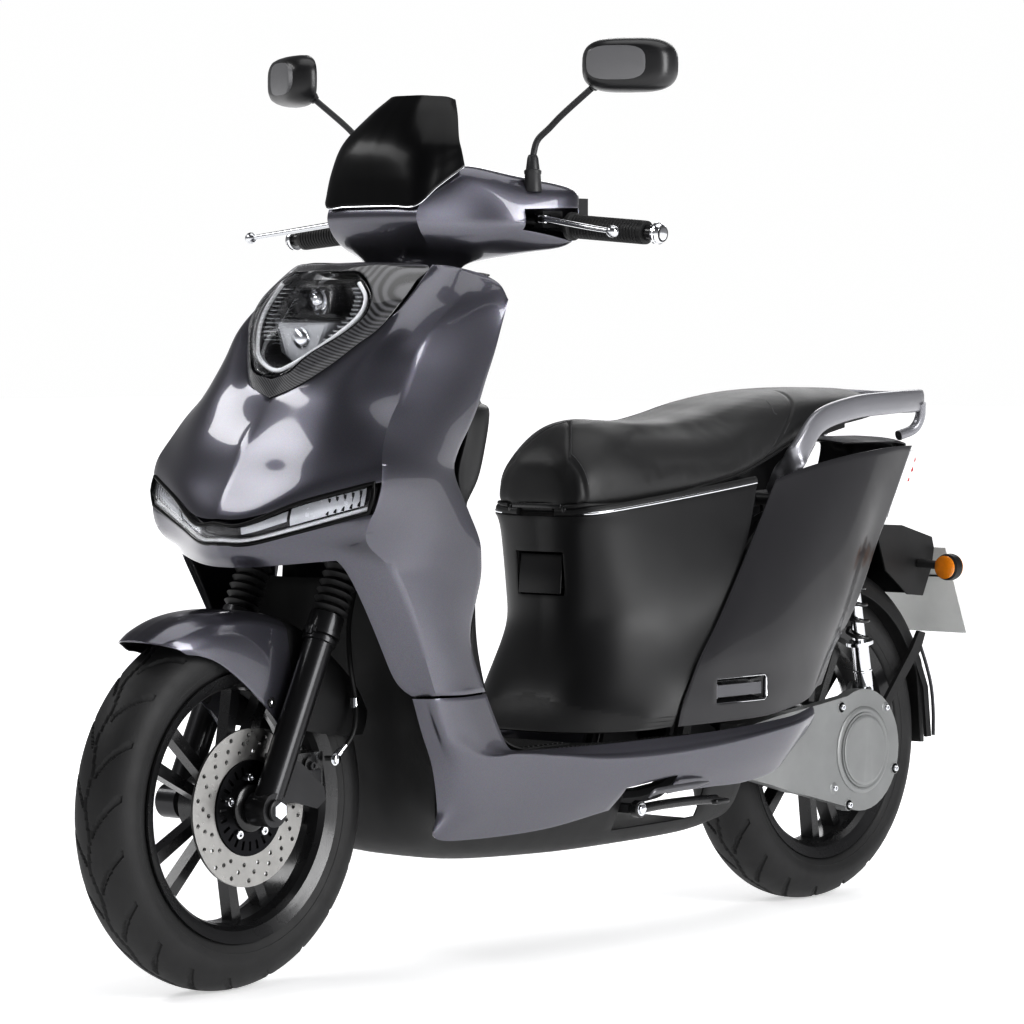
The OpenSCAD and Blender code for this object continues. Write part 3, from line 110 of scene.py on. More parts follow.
INNER_ROWS = [
    [(0, -190, 1000), (60, -193, 1000), (112, -240, 998), (142, -300, 990), (168, -294, 968),
     (181, -292, 944)],
    [(0, -220, 950), (66, -226, 950), (118, -262, 950), (150, -306, 948), (172, -312, 932), (184, -308, 908)],
    [(0, -262, 870), (70, -262, 870), (124, -280, 870), (154, -316, 868), (175, -336, 860), (186, -342, 846)],
    [(0, -286, 818), (74, -284, 818), (134, -288, 818), (162, -318, 816), (179, -350, 812), (187, -364, 806)],
    [(0, -276, 800), (76, -274, 800), (140, -276, 799), (168, -306, 798), (182, -352, 786), (188, -372, 770)],
    [(0, -306, 720), (78, -304, 720), (144, -306, 718), (170, -326, 716), (184, -370, 715), (188, -390, 714)],
    [(0, -330, 672), (78, -328, 672), (142, -330, 670), (168, -353, 668), (182, -366, 664), (188, -374, 660)],
    [(0, -346, 640), (78, -344, 640), (138, -342, 638), (168, -350, 630), (183, -352, 618), (188, -352, 610)],
    [(0, -338, 560), (78, -336, 560), (138, -334, 560), (168, -338, 560), (183, -348, 556), (188, -352, 552)],
    [(0, -314, 460), (78, -312, 460), (138, -312, 460), (168, -326, 460), (183, -350, 458), (188, -362, 456)],
    [(0, -284, 360), (78, -282, 360), (138, -282, 360), (168, -292, 360), (183, -304, 358), (189, -310, 356)],
    [(0, -238, 316), (78, -237, 316), (138, -238, 316), (168, -248, 317), (183, -258, 318), (189, -262, 320)],
    [(0, -150, 304), (78, -150, 304), (138, -150, 304), (168, -150, 306), (183, -150, 308), (189, -150, 310)],
    [(0, -60, 304), (78, -60, 304), (138, -30, 304), (166, 10, 306), (182, 0, 307), (189, 0, 309)],
    [(0, -52, 304), (64, -48, 304), (124, -20, 304), (158, 28, 306), (175, 66, 307), (186, 100, 309)]]

UNDER_ROWS = [
    [(0, 6, 640), (44, 6, 640), (98, 28, 643), (124, 120, 654), (144, 240, 669), (156, 345, 682)],
    [(0, 13, 588), (44, 13, 588), (99, 39, 590), (130, 134, 593), (151, 236, 599), (164, 312, 604)],
    [(0, 19, 518), (44, 19, 518), (100, 50, 519), (134, 132, 520), (159, 210, 522), (176, 258, 524)],
    [(0, 20, 470), (48, 21, 470), (102, 57, 470), (140, 126, 470), (164, 178, 470), (182, 214, 472)],
    [(0, 4, 400), (54, 4, 400), (106, 22, 400), (146, 78, 400), (170, 118, 400), (186, 146, 400)],
    [(0, -20, 350), (60, -18, 350), (116, 8, 350), (156, 54, 350), (176, 88, 350), (187, 114, 350)],
    [(0, -56, 320), (66, -52, 320), (126, -24, 320), (160, 22, 321), (176, 62, 323), (186, 98, 326)]]

BELLY_ROWS = [
    [(0, -376, 560), (60, -377, 560), (108, -388, 560), (140, -420, 562), (157, -466, 566)],
    [(0, -372, 470), (60, -374, 470), (110, -390, 470), (142, -420, 470), (158, -460, 470)],
    [(0, -372, 380), (62, -374, 380), (112, -390, 380), (142, -415, 380), (158, -436, 380)],
    [(0, -372, 290), (62, -375, 290), (110, -385, 290), (140, -395, 290), (158, -404, 290)],
    [(0, -362, 215), (62, -364, 215), (108, -372, 215), (138, -382, 215), (157, -395, 218)],
    [(0, -338, 172), (62, -338, 172), (104, -340, 174), (132, -344, 184), (154, -346, 208)],
    [(0, -280, 154), (62, -278, 155), (104, -268, 160), (132, -250, 174), (152, -238, 210)],
    [(0, -120, 147), (62, -118, 148), (106, -112, 153), (132, -100, 172), (150, -90, 214)],
    [(0, 20, 146), (62, 20, 147), (106, 20, 152), (130, 22, 174), (150, 26, 228)],
    [(0, 220, 150), (62, 220, 151), (104, 222, 156), (128, 224, 178), (148, 228, 232)],
    [(0, 325, 160), (58, 325, 161), (98, 325, 168), (124, 326, 190), (144, 328, 234)]]

SURROUND_ROWS = [
    [(0, -480, 1002), (0, -455, 1010), (0, -432, 1012)],
    [(38, -472, 1001), (50, -448, 1009), (60, -420, 1013)],
    [(63, -458, 1000), (92, -422, 1008), (120, -376, 1009)],
    [(89, -465, 983), (112, -440, 985), (130, -412, 986)],
    [(104, -476, 962), (122, -462, 961), (135.5, -447, 959)],
    [(107, -493, 938), (117, -490, 930), (124, -483, 921)],
    [(91, -518, 914), (99, -513, 905), (104.3, -507, 898)],
    [(56, -555, 882), (68, -546, 874), (77.5, -536, 868)],
    [(35, -570, 860), (39, -568, 849), (42, -565, 839.5)],
    [(0, -570, 849), (0, -572, 836), (0, -573, 823.5)]]

LENS_ROWS = [
    [(0, -482, 999), (30, -477, 999), (48, -468, 999), (59, -461, 998)],
    [(0, -500, 984), (40, -492, 984), (70, -474, 983), (84, -468, 982)],
    [(0, -522, 960), (46, -512, 961), (84, -488, 962), (101, -478, 962)],
    [(0, -544, 935), (46, -534, 936), (86, -506, 938), (104, -494, 938)],
    [(0, -560, 912), (40, -552, 913), (73, -530, 914), (88, -518, 915)],
    [(0, -570, 886), (26, -568, 886), (44, -560, 885), (54, -554, 884)],
    [(0, -573, 865), (15, -573, 864), (27, -571, 863), (33, -568, 863)],
    [(0, -571, 854), (6, -571, 854), (12, -570, 855), (15, -570, 855)]]

DRL_ROWS = [
    [(0, -684, 651), (46, -678, 650), (120, -640, 681), (212, -589, 709)],
    [(0, -686, 637), (46, -677, 637), (118, -645, 660), (213, -594, 689)],
    [(0, -676, 622), (46, -666, 623), (110, -636, 640), (207, -596, 668)]]

FENDER_ROWS = [
    [(0, -846, 494), (22, -844, 493), (40, -832, 490), (52, -812, 484), (54, -796, 478)],
    [(0, -820, 508), (28, -818, 506), (48, -806, 499), (58, -788, 486), (59, -776, 474)],
    [(0, -780, 522), (29, -778, 520), (50, -768, 510), (60, -750, 492), (61, -742, 462)],
    [(0, -730, 529), (30, -728, 527), (51, -720, 515), (60, -706, 484), (61, -694, 432)],
    [(0, -670, 529), (30, -668, 527), (51, -662, 515), (60, -650, 462), (61, -640, 388)],
    [(0, -612, 521), (30, -612, 519), (51, -610, 505), (59, -606, 440), (60, -611, 356)],
    [(0, -556, 503), (30, -558, 501), (51, -562, 488), (59, -572, 425), (60, -584, 360)],
    [(0, -500, 471), (30, -503, 469), (50, -512, 459), (58, -524, 410), (59, -536, 352)],
    [(0, -446, 424), (29, -449, 423), (48, -457, 418), (56, -468, 385), (57, -480, 345)],
    [(0, -416, 380), (28, -418, 380), (46, -426, 376), (53, -436, 360), (54, -444, 344)]]

COVER_ROWS = [
    [(0, -328, 990), (24, -324, 990), (48, -306, 990), (58, -282, 990), (58, -256, 990), (50, -228, 990),
     (24, -217, 990), (0, -215, 990)],
    [(0, -336, 1020), (30, -333, 1020), (58, -314, 1020), (68, -285, 1020), (70, -248, 1018),
     (56, -222, 1016), (34, -208, 1016), (0, -204, 1016)],
    [(0, -352, 1042), (45, -349, 1042), (82, -334, 1042), (106, -290, 1042), (130, -240, 1042),
     (136, -182, 1032), (66, -170, 1036), (0, -168, 1040)],
    [(0, -362, 1066), (45, -361, 1066), (85, -355, 1066), (124, -288, 1066), (166, -222, 1064),
     (184, -128, 1046), (92, -138, 1050), (0, -142, 1054)],
    [(0, -364, 1092), (45, -363, 1092), (85, -357, 1092), (124, -289, 1092), (167, -221, 1091),
     (190, -122, 1096), (95, -120, 1090), (0, -120, 1090)],
    [(0, -322, 1136), (45, -320, 1136), (88, -312, 1138), (112, -284, 1148), (148, -212, 1136),
     (178, -122, 1123), (95, -108, 1118), (0, -104, 1116)],
    [(0, -268, 1150), (40, -266, 1150), (74, -258, 1152), (88, -240, 1152), (100, -198, 1142),
     (110, -150, 1130), (78, -126, 1124), (0, -122, 1122)]]

SCREEN_ROWS = [
    [(0, -369, 1097), (45, -368, 1097), (86, -362, 1097), (103, -334, 1124), (120, -296, 1153)],
    [(0, -364, 1140), (44, -362, 1140), (84, -351, 1143), (101, -323, 1158), (113, -294, 1173)],
    [(0, -350, 1185), (42, -347, 1185), (76, -334, 1187), (93, -312, 1190), (104, -290, 1192)],
    [(0, -316, 1228), (36, -313, 1228), (60, -297, 1228), (73, -280, 1228), (80, -266, 1225)],
    [(0, -284, 1256), (24, -281, 1256), (40, -272, 1255), (52, -258, 1254), (58, -246, 1250)]]

SEAT_HALF = [
    [(0, 6, 724), (30, 6, 721), (50, 7, 708), (58, 6, 690), (56, 4, 673), (40, 4, 667), (0, 4, 667)],
    [(0, 30, 756), (36, 30, 750), (66, 26, 732), (86, 20, 704), (90, 18, 675), (66, 18, 668), (0, 18, 668)],
    [(0, 74, 782), (44, 76, 776), (82, 80, 754), (106, 82, 714), (108, 84, 675), (82, 84, 669), (0, 84, 669)],
    [(0, 160, 779), (50, 160, 776), (96, 162, 757), (122, 164, 720), (124, 166, 681), (96, 166, 675),
     (0, 166, 675)],
    [(0, 250, 778), (60, 250, 775), (112, 250, 757), (138, 250, 726), (140, 250, 691), (110, 250, 684),
     (0, 250, 684)],
    [(0, 330, 790), (64, 330, 786), (118, 330, 766), (142, 330, 734), (143, 330, 701), (116, 330, 694),
     (0, 330, 694)],
    [(0, 410, 806), (62, 410, 802), (110, 410, 786), (130, 410, 758), (131, 410, 722), (108, 410, 714),
     (0, 410, 714)],
    [(0, 520, 820), (58, 520, 817), (102, 520, 804), (120, 516, 784), (121, 512, 756), (98, 512, 742),
     (0, 512, 742)],
    [(0, 640, 826), (54, 640, 823), (92, 638, 812), (108, 634, 798), (109, 632, 780), (90, 632, 764),
     (0, 632, 764)],
    [(0, 740, 824), (48, 740, 821), (80, 736, 812), (93, 732, 802), (94, 730, 790), (78, 730, 776),
     (0, 730, 776)],
    [(0, 826, 812), (36, 822, 810), (58, 812, 805), (67, 804, 799), (68, 802, 793), (56, 802, 786),
     (0, 806, 786)]]

COLLAR_ROWS = [
    [(0, -356, 1002), (0, -387, 1005), (0, -426, 1006)],
    [(42, -345, 1002), (48, -375, 1005), (56, -414, 1006)],
    [(73, -316, 1002), (90, -335, 1003), (112, -360, 1003)],
    [(85, -274, 1001), (104, -285, 999), (134, -300, 994)],
    [(80, -230, 1000), (96, -234, 999), (112, -232, 996)],
    [(60, -206, 1000), (60, -201, 1000), (60, -196, 1000)]]

TAIL_ROWS = [
    [(0, 660, 742), (46, 660, 740), (86, 664, 736)],
    [(0, 760, 744), (46, 760, 742), (88, 762, 736)],
    [(0, 846, 742), (46, 842, 740), (88, 826, 734)],
    [(0, 868, 730), (46, 862, 729), (84, 834, 724)],
    [(0, 862, 680), (46, 856, 680), (84, 818, 676)],
    [(0, 838, 616), (46, 832, 616), (84, 786, 616)]]

# ------------------------------------------------------------------ curves and meshes


def mm(points):
    """Millimetres from the wheelbase middle to metres in the frame."""
    p = np.asarray(points, float).copy()
    p[..., 1] += SHIFT
    return p / 1000.0


def on_curve(p, t):
    """Points at t (0 to len - 1) on the smooth curve through p; p is (n, ...)."""
    p = np.asarray(p, float)
    n = len(p) - 1
    t = np.atleast_1d(t)
    i = np.clip(np.floor(t).astype(int), 0, n - 1)
    f = (t - i).reshape((-1,) + (1,) * (p.ndim - 1))
    b, c = p[i], p[i + 1]
    a = np.where((i > 0).reshape(f.shape), p[np.maximum(i - 1, 0)], 2 * b - c)
    d = np.where((i + 2 <= n).reshape(f.shape), p[np.minimum(i + 2, n)], 2 * c - b)
    return 0.5 * (2 * b + (c - a) * f + (2 * a - 5 * b + 4 * c - d) * f ** 2
                  + (3 * b - 3 * c + d - a) * f ** 3)


def creased_curve(p, t, creases):
    """on_curve with each (index, weights) in creases turned into a soft corner."""
    smooth = on_curve(p, t)
    if not creases:
        return smooth
    cuts = [0] + sorted(c for c, w in creases) + [len(p) - 1]
    hard = np.zeros_like(smooth)
    for lo, hi in zip(cuts[:-1], cuts[1:]):
        inside = (t >= lo - 1e-9) & (t <= hi + 1e-9)
        if hi > lo and inside.any():
            hard[inside] = on_curve(p[lo:hi + 1], t[inside] - lo)
    weight = np.zeros((len(t),) + smooth.shape[1:-1])
    for c, w in creases:
        near = (np.abs(t - c) < 1).astype(float).reshape((-1,) + (1,) * (weight.ndim - 1))
        weight = np.maximum(weight, near * np.asarray(w, float))
    return smooth + (hard - smooth) * weight[..., None]


def patch(rows, k, creases=()):
    """(rows, columns, 3) grid on the smooth surface through the control rows."""
    g = np.asarray(rows, float)
    u = np.linspace(0, g.shape[0] - 1, k * (g.shape[0] - 1) + 1)
    v = np.linspace(0, g.shape[1] - 1, k * (g.shape[1] - 1) + 1)
    g = on_curve(g, u)
    turned = []
    for c, w in creases:
        w = np.asarray(w, float)
        turned.append((c, np.interp(u, np.linspace(0, len(rows) - 1, len(w)), w) if w.ndim else w))
    g = creased_curve(np.swapaxes(g, 0, 1), v, turned)
    return np.swapaxes(g, 0, 1)


def fair(g, steps, held=()):
    """Irons out small waves of a grid; its rim and the held columns move only along themselves."""
    g = g.copy()
    for _ in range(steps):
        along = g.copy()
        along[1:-1] = 0.5 * g[1:-1] + 0.25 * (g[:-2] + g[2:])
        new = along.copy()
        new[:, 1:-1] = 0.5 * along[:, 1:-1] + 0.25 * (along[:, :-2] + along[:, 2:])
        for c in held:
            new[:, c] = along[:, c]
        new[0], new[-1] = g[0], g[-1]
        new[:, -1] = g[:, -1]
        middle = np.abs(g[:, 0, 0]) < 0.01
        new[:, 0] = np.where(middle[:, None], along[:, 0], g[:, 0])
        new[0, 0], new[-1, 0] = g[0, 0], g[-1, 0]
        g = new
    return g


def dress(o, node=None):
    """Hides the CAD node that a piece stands for."""
    if node:
        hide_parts(node)
    return o


def make(name, verts, faces, material, body, smooth_angle=35):
    """A mesh piece from metres, riding on a body."""
    mesh = bpy.data.meshes.new(name)
    mesh.from_pydata([tuple(v) for v in verts], [], [tuple(int(i) for i in f) for f in faces])
    mesh.validate()
    o = bpy.data.objects.new(name, mesh)
    scene.collection.objects.link(o)
    mesh.materials.append(material)
    finish_mesh(o, smooth_angle)
    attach(o, body)
    return o


def finish_mesh(o, smooth_angle=35):
    """Smooth shading with hard edges above the angle in degrees."""
    o.data.polygons.foreach_set("use_smooth", [True] * len(o.data.polygons))
    o.data.set_sharp_from_angle(angle=math.radians(smooth_angle))
    o.data.update()


def bake(o):
    """Applies the modifiers of o."""
    dg = bpy.context.evaluated_depsgraph_get()
    dg.update()
    new = bpy.data.meshes.new_from_object(o.evaluated_get(dg), depsgraph=dg)
    old = o.data
    o.modifiers.clear()
    o.data = new
    bpy.data.meshes.remove(old)
    return o


def thicken(o, t, edge, smooth_angle):
    """Gives a sheet thickness t inwards and rounds its rim."""
    solid = o.modifiers.new("wall", "SOLIDIFY")
    solid.thickness = t
    solid.offset = -1
    solid.use_even_offset = False
    if edge:
        bevel = o.modifiers.new("rim", "BEVEL")
        bevel.width = edge
        bevel.segments = 2
        bevel.limit_method = "ANGLE"
        bevel.angle_limit = math.radians(60)
    bake(o)


def grid_faces(n, m, side, skip):
    """Faces of an n by m grid without the skipped cells."""
    faces = []
    for i in range(n - 1):
        for j in range(m - 1):
            if skip[i, j]:
                continue
            a, b, c, d = i * m + j, i * m + j + 1, (i + 1) * m + j + 1, (i + 1) * m + j
            faces.append((a, b, c, d) if side < 0 else (d, c, b, a))
    return faces


def panel(name, rows, body, material, side=1, t=2.6, k=8, opened=(), mirror="weld",
          creases=(), smooth_angle=35, right_opened=None, edge=0.0006, ironed=0, node=None):
    """A moulded panel behind the surface through rows; mirror is weld, both, left or right."""
    g = mm(fair(patch(rows, k, creases), ironed, [c * k for c, w in creases]))
    n, m = g.shape[:2]
    if mirror == "weld":
        g[..., 0] = np.maximum(g[..., 0], 0)

    def skipped(cells):
        s = np.zeros((n - 1, m - 1), bool)
        for r, c0, c1 in cells:
            s[r * k:(r + 1) * k, c0 * k:(c1 + 1) * k] = True
        return s
    verts, faces = np.zeros((0, 3)), []
    flip = np.array([-1, 1, 1])
    if mirror != "right":
        verts = g.reshape(-1, 3)
        faces = grid_faces(n, m, -side, skipped(opened))
    if mirror != "left":
        base = len(verts)
        verts = np.vstack([verts, g.reshape(-1, 3) * flip])
        cells = opened if right_opened is None else right_opened
        faces += [tuple(i + base for i in f) for f in grid_faces(n, m, side, skipped(cells))]
    o = make(name, verts, faces, material, body, smooth_angle)
    bm = bmesh.new()
    bm.from_mesh(o.data)
    bmesh.ops.remove_doubles(bm, verts=bm.verts, dist=2e-6)
    loose = [v for v in bm.verts if not v.link_faces]
    bmesh.ops.delete(bm, geom=loose, context="VERTS")
    bmesh.ops.dissolve_degenerate(bm, edges=bm.edges, dist=1e-6)
    bm.to_mesh(o.data)
    bm.free()
    thicken(o, t / 1000, edge, smooth_angle)
    finish_mesh(o, smooth_angle)
    return dress(o, node)


def section(n, ru, rv, power=1.0):
    """Ring of n (u, v) points; power below 1 squares it."""
    a = np.arange(n) * 2 * math.pi / n
    c, s = np.cos(a), np.sin(a)
    return np.stack([ru * np.sign(c) * np.abs(c) ** power, rv * np.sign(s) * np.abs(s) ** power], 1)


def ring_faces(count, n, closed=False):
    """Quads between count rings of n points, closed to a loop or capped at both ends."""
    faces = [(i * n + j, i * n + (j + 1) % n, (i + 1) % count * n + (j + 1) % n, (i + 1) % count * n + j)
             for i in range(count if closed else count - 1) for j in range(n)]
    if closed:
        return faces
    return faces + [tuple(range(n - 1, -1, -1)), tuple((count - 1) * n + j for j in range(n))]


def turned_over(part):
    """The same mesh with its faces turned round."""
    v, f = part
    return v, [tuple(reversed(q)) for q in f]


def tube_mesh(points, ru, rv=None, n=16, k=8, up=(0, 0, 1), power=1.0, scale=None, closed=False, smooth=True):
    """Bar along the curve through points; up stays across its section, scale varies its size."""
    p = np.asarray(points, float)
    rv = ru if rv is None else rv
    t = np.linspace(0, len(p) - 1, k * (len(p) - 1) + 1)
    c = on_curve(p, t) if smooth else np.stack([np.interp(t, range(len(p)), p[:, i]) for i in range(3)], 1)
    if closed:
        c = c[:-1]
    sizes = np.ones(len(c))
    if scale is not None:
        sizes = np.interp(t[:len(c)], np.linspace(0, len(p) - 1, len(scale)), scale)
    d = np.roll(c, -1, 0) - np.roll(c, 1, 0) if closed else np.gradient(c, axis=0)
    d /= np.linalg.norm(d, axis=1, keepdims=True)
    up = np.asarray(up, float)
    u = np.cross(up, d)
    u /= np.maximum(np.linalg.norm(u, axis=1, keepdims=True), 1e-9)
    v = np.cross(d, u)
    s = section(n, ru, rv, power)
    rings = c[:, None] + (s[None, :, :1] * u[:, None] + s[None, :, 1:] * v[:, None]) * sizes[:, None, None]
    return rings.reshape(-1, 3), ring_faces(len(c), n, closed)


def join(parts):
    """One vertex and face list from several."""
    verts, faces = [], []
    base = 0
    for v, f in parts:
        v = np.asarray(v, float)
        verts.append(v)
        faces += [tuple(i + base for i in q) for q in f]
        base += len(v)
    return np.vstack(verts), faces


def flipped(part):
    """Mirror image across x = 0."""
    v, f = part
    return np.asarray(v, float) * np.array([-1, 1, 1]), [tuple(reversed(q)) for q in f]


def both(part):
    """A left part and its mirror image."""
    return join([part, flipped(part)])


def piece(name, part, body, material, smooth_angle=40, node=None):
    """A mesh piece from a part in millimetres."""
    v, f = part
    return dress(make(name, mm(v), f, material, body, smooth_angle), node)


def frame_of(d):
    """Two unit vectors across d, and d itself."""
    d = np.asarray(d, float) / np.linalg.norm(d)
    up = np.array([0.0, 0.0, 1.0])
    if abs(np.dot(d, up)) > 0.95:
        up = np.array([0.0, 1.0, 0.0])
    u = np.cross(up, d)
    u /= np.linalg.norm(u)
    return u, np.cross(d, u), d


def turned(at, d, profile, n=48):
    """Solid of revolution: profile points are (distance along d, radius)."""
    u, v, w = frame_of(d)
    a = np.arange(n) * 2 * math.pi / n
    ringdir = np.cos(a)[:, None] * u + np.sin(a)[:, None] * v
    rings = [np.asarray(at, float) + s * w + max(r, 1e-4) * ringdir for s, r in profile]
    return np.vstack(rings), ring_faces(len(profile), n)


def round_box(at, size, r=1.5, rot=None):
    """A box with chamfered and rounded edges, as a lofted form."""
    sx, sy, sz = (s / 2 for s in size)
    r = min(r, sx * 0.9, sy * 0.9, sz * 0.9)
    rings = []
    for z, inset in ((-sz, r), (-sz + r * 0.3, r * 0.3), (-sz + r, 0), (sz - r, 0),
                     (sz - r * 0.3, r * 0.3), (sz, r)):
        x, y = sx - inset, sy - inset
        c = max(r - inset * 0.5, 0.2)
        ring = []
        for qx, qy, a0 in ((1, 1, 0), (-1, 1, 90), (-1, -1, 180), (1, -1, 270)):
            for a in (0, 30, 60, 90):
                b = math.radians(a0 + a)
                ring.append((qx * (x - c) + c * math.cos(b), qy * (y - c) + c * math.sin(b), z))
        rings.append(ring)
    v = np.array(rings).reshape(-1, 3)
    if rot is not None:
        v = v @ rot.T
    return v + np.asarray(at, float), ring_faces(len(rings), len(rings[0]))


def rot_x(a):
    """Turning matrix about x, degrees."""
    c, s = math.cos(math.radians(a)), math.sin(math.radians(a))
    return np.array([[1, 0, 0], [0, c, -s], [0, s, c]])


def rot_z(a):
    """Turning matrix about z, degrees."""
    c, s = math.cos(math.radians(a)), math.sin(math.radians(a))
    return np.array([[c, -s, 0], [s, c, 0], [0, 0, 1]])


def bolt(at, d, r=6, h=5, hexa=False):
    """A cap screw with a socket, or a hexagon nut with its washer."""
    if hexa:
        nut = turned(at, d, [(-1, r * 1.25), (0.8, r * 1.25), (1, r * 1.1)], 32)
        body = turned(at, d, [(0.8, r), (h - 0.6, r), (h, r * 0.86)], 6)
        return join([nut, body])
    return turned(at, d, [(-2, r), (h - 1, r), (h, r * 0.85), (h, r * 0.5), (h - 2.5, r * 0.48),
                          (h - 2.6, 0)], 32)


# ------------------------------------------------------------------ materials


def shader(tree, kind, inputs=(), **settings):
    """Adds a node; inputs pairs its input names or numbers with values or other nodes' outputs."""
    n = tree.nodes.new("ShaderNode" + kind)
    for key, value in settings.items():
        setattr(n, key, value)
    for key, value in dict(inputs).items():
        if isinstance(value, bpy.types.NodeSocket):
            tree.links.new(value, n.inputs[key])
        else:
            n.inputs[key].default_value = value
    return n


def ramp_of(tree, value, stops):
    """Colour output of a ramp with two stops, each (position, colour)."""
    n = shader(tree, "ValToRGB", {"Fac": value})
    for element, (position, color) in zip(n.color_ramp.elements, stops):
        element.position = position
        element.color = color
    return n.outputs["Color"]


def mixed(tree, factor, a, b, **settings):
    """Colour output of a colour mix."""
    return shader(tree, "Mix", {0: factor, 6: a, 7: b}, data_type="RGBA", **settings).outputs[2]


def relief(tree, height, strength, distance):
    """Drives the surface normal by a height."""
    bump = shader(tree, "Bump", {"Strength": strength, "Distance": distance, "Height": height})
    tree.links.new(bump.outputs["Normal"], tree.nodes["Principled BSDF"].inputs["Normal"])


def mat(name, color, rough=0.4, metal=0.0, coat=0.0, coat_rough=0.05, var=0.08, var_scale=9.0,
        rough_var=0.08, grain=0.0, grain_scale=900.0, leather=False, wear=0.0, wear_color=None,
        alpha=1.0, transmission=0.0, ior=1.5, sheen=0.0, specular=0.5, glow=0.0, flakes=0.0):
    """Procedural material: tone variation, roughness variation, fine relief and edge wear."""
    m = bpy.data.materials.new(name)
    m.use_nodes = True
    nt = m.node_tree
    bsdf = nt.nodes["Principled BSDF"]
    place = shader(nt, "TexCoord").outputs["Object"]
    tone = shader(nt, "TexNoise", {"Vector": place, "Scale": var_scale, "Detail": 6}).outputs["Fac"]
    base = ramp_of(nt, tone, ((0.3, (*[max(c * (1 - var), 0) for c in color], 1)),
                              (0.7, (*[min(c * (1 + var), 1) for c in color], 1))))
    if flakes:
        flake = shader(nt, "TexVoronoi", {"Vector": place, "Scale": 2600})
        base = mixed(nt, flakes, base, flake.outputs["Color"], blend_type="OVERLAY")
    if wear:
        edges = ramp_of(nt, shader(nt, "NewGeometry").outputs["Pointiness"],
                        ((0.53, (0, 0, 0, 1)), (0.62, (1, 1, 1, 1))))
        broken = shader(nt, "Math", {0: edges, 1: tone}, operation="MULTIPLY").outputs[0]
        amount = shader(nt, "Math", {0: broken, 1: wear * 1.6}, operation="MULTIPLY").outputs[0]
        base = mixed(nt, amount, base, (*(wear_color or [min(c * 2.2 + 0.03, 1) for c in color]), 1))
    nt.links.new(base, bsdf.inputs["Base Color"])
    smudge = shader(nt, "TexNoise", {"Vector": place, "Scale": var_scale * 3.1, "Detail": 4})
    spread = shader(nt, "MapRange", {"Value": smudge.outputs["Fac"], "To Min": max(rough - rough_var, 0.02),
                                     "To Max": min(rough + rough_var, 1)})
    nt.links.new(spread.outputs["Result"], bsdf.inputs["Roughness"])
    if grain:
        if leather:
            height = shader(nt, "TexVoronoi", {"Vector": place, "Scale": grain_scale},
                            feature="DISTANCE_TO_EDGE").outputs["Distance"]
        else:
            fine = shader(nt, "TexNoise", {"Vector": place, "Scale": grain_scale, "Detail": 3})
            height = fine.outputs["Fac"]
        relief(nt, height, grain, 0.0006)
    finish = {"Metallic": metal, "Coat Weight": coat, "Coat Roughness": coat_rough, "IOR": ior,
              "Alpha": alpha, "Transmission Weight": transmission, "Sheen Weight": sheen,
              "Specular IOR Level": specular}
    if glow:
        finish.update({"Emission Color": (1, 1, 1, 1), "Emission Strength": glow})
    for key, value in finish.items():
        bsdf.inputs[key].default_value = value
    return m


TOW = 0.0012             # width of one carbon tow, metres
CARRIER_RADIUS = 0.067   # black middle of the brake disc, metres


def carbon_material():
    """Twill weave of dark tows under clear coat, laid along x and up the hood's slope."""
    m = mat("carbon_weave", (0.03, 0.03, 0.033), rough=0.3, coat=1.0, coat_rough=0.04, var=0.05)
    nt = m.node_tree

    def sums(op, a, b=None):
        return shader(nt, "Math", {0: a} if b is None else {0: a, 1: b}, operation=op).outputs[0]
    split = shader(nt, "SeparateXYZ", {0: shader(nt, "TexCoord").outputs["Object"]}).outputs
    slope = sums("ADD", split["Z"], sums("MULTIPLY", split["Y"], -0.6))
    u = sums("MULTIPLY", split["X"], 1 / TOW)
    v = sums("MULTIPLY", slope, 1 / TOW)
    step = sums("ADD", sums("FLOOR", u), sums("FLOOR", v))
    over = sums("LESS_THAN", sums("FLOORED_MODULO", step, 4.0), 2.0)
    ridge_u, ridge_v = (sums("ABSOLUTE", sums("SINE", sums("MULTIPLY", x, math.pi))) for x in (u, v))
    height = shader(nt, "Mix", {0: over, 2: ridge_u, 3: ridge_v}).outputs[0]
    tint = mixed(nt, over, (0.012, 0.012, 0.013, 1), (0.10, 0.10, 0.108, 1))
    nt.links.new(tint, nt.nodes["Principled BSDF"].inputs["Base Color"])
    relief(nt, height, 0.35, 0.0004)
    return m


def disc_material():
    """Turned steel swept area round a black carrier."""
    m = mat("disc_steel", (0.40, 0.395, 0.385), rough=0.3, metal=1.0, var=0.06, var_scale=30)
    nt = m.node_tree
    base = nt.nodes["Principled BSDF"].inputs["Base Color"]
    away = shader(nt, "VectorMath", {0: shader(nt, "TexCoord").outputs["Object"],
                                     1: (0, (FRONT_AXLE[1] + SHIFT) / 1000, FRONT_AXLE[2] / 1000)},
                  operation="SUBTRACT").outputs[0]
    flat = shader(nt, "VectorMath", {0: away, 1: (0, 1, 1)}, operation="MULTIPLY").outputs[0]
    radius = shader(nt, "VectorMath", {0: flat}, operation="LENGTH").outputs["Value"]
    rings = shader(nt, "TexNoise", noise_dimensions="1D")
    rings.inputs["Scale"].default_value = 4000
    nt.links.new(radius, rings.inputs["W"])
    relief(nt, rings.outputs["Fac"], 0.12, 0.0003)
    inner = shader(nt, "Math", {0: radius, 1: CARRIER_RADIUS}, operation="LESS_THAN").outputs[0]
    nt.links.new(mixed(nt, inner, base.links[0].from_socket, (0.02, 0.02, 0.022, 1)), base)
    return m


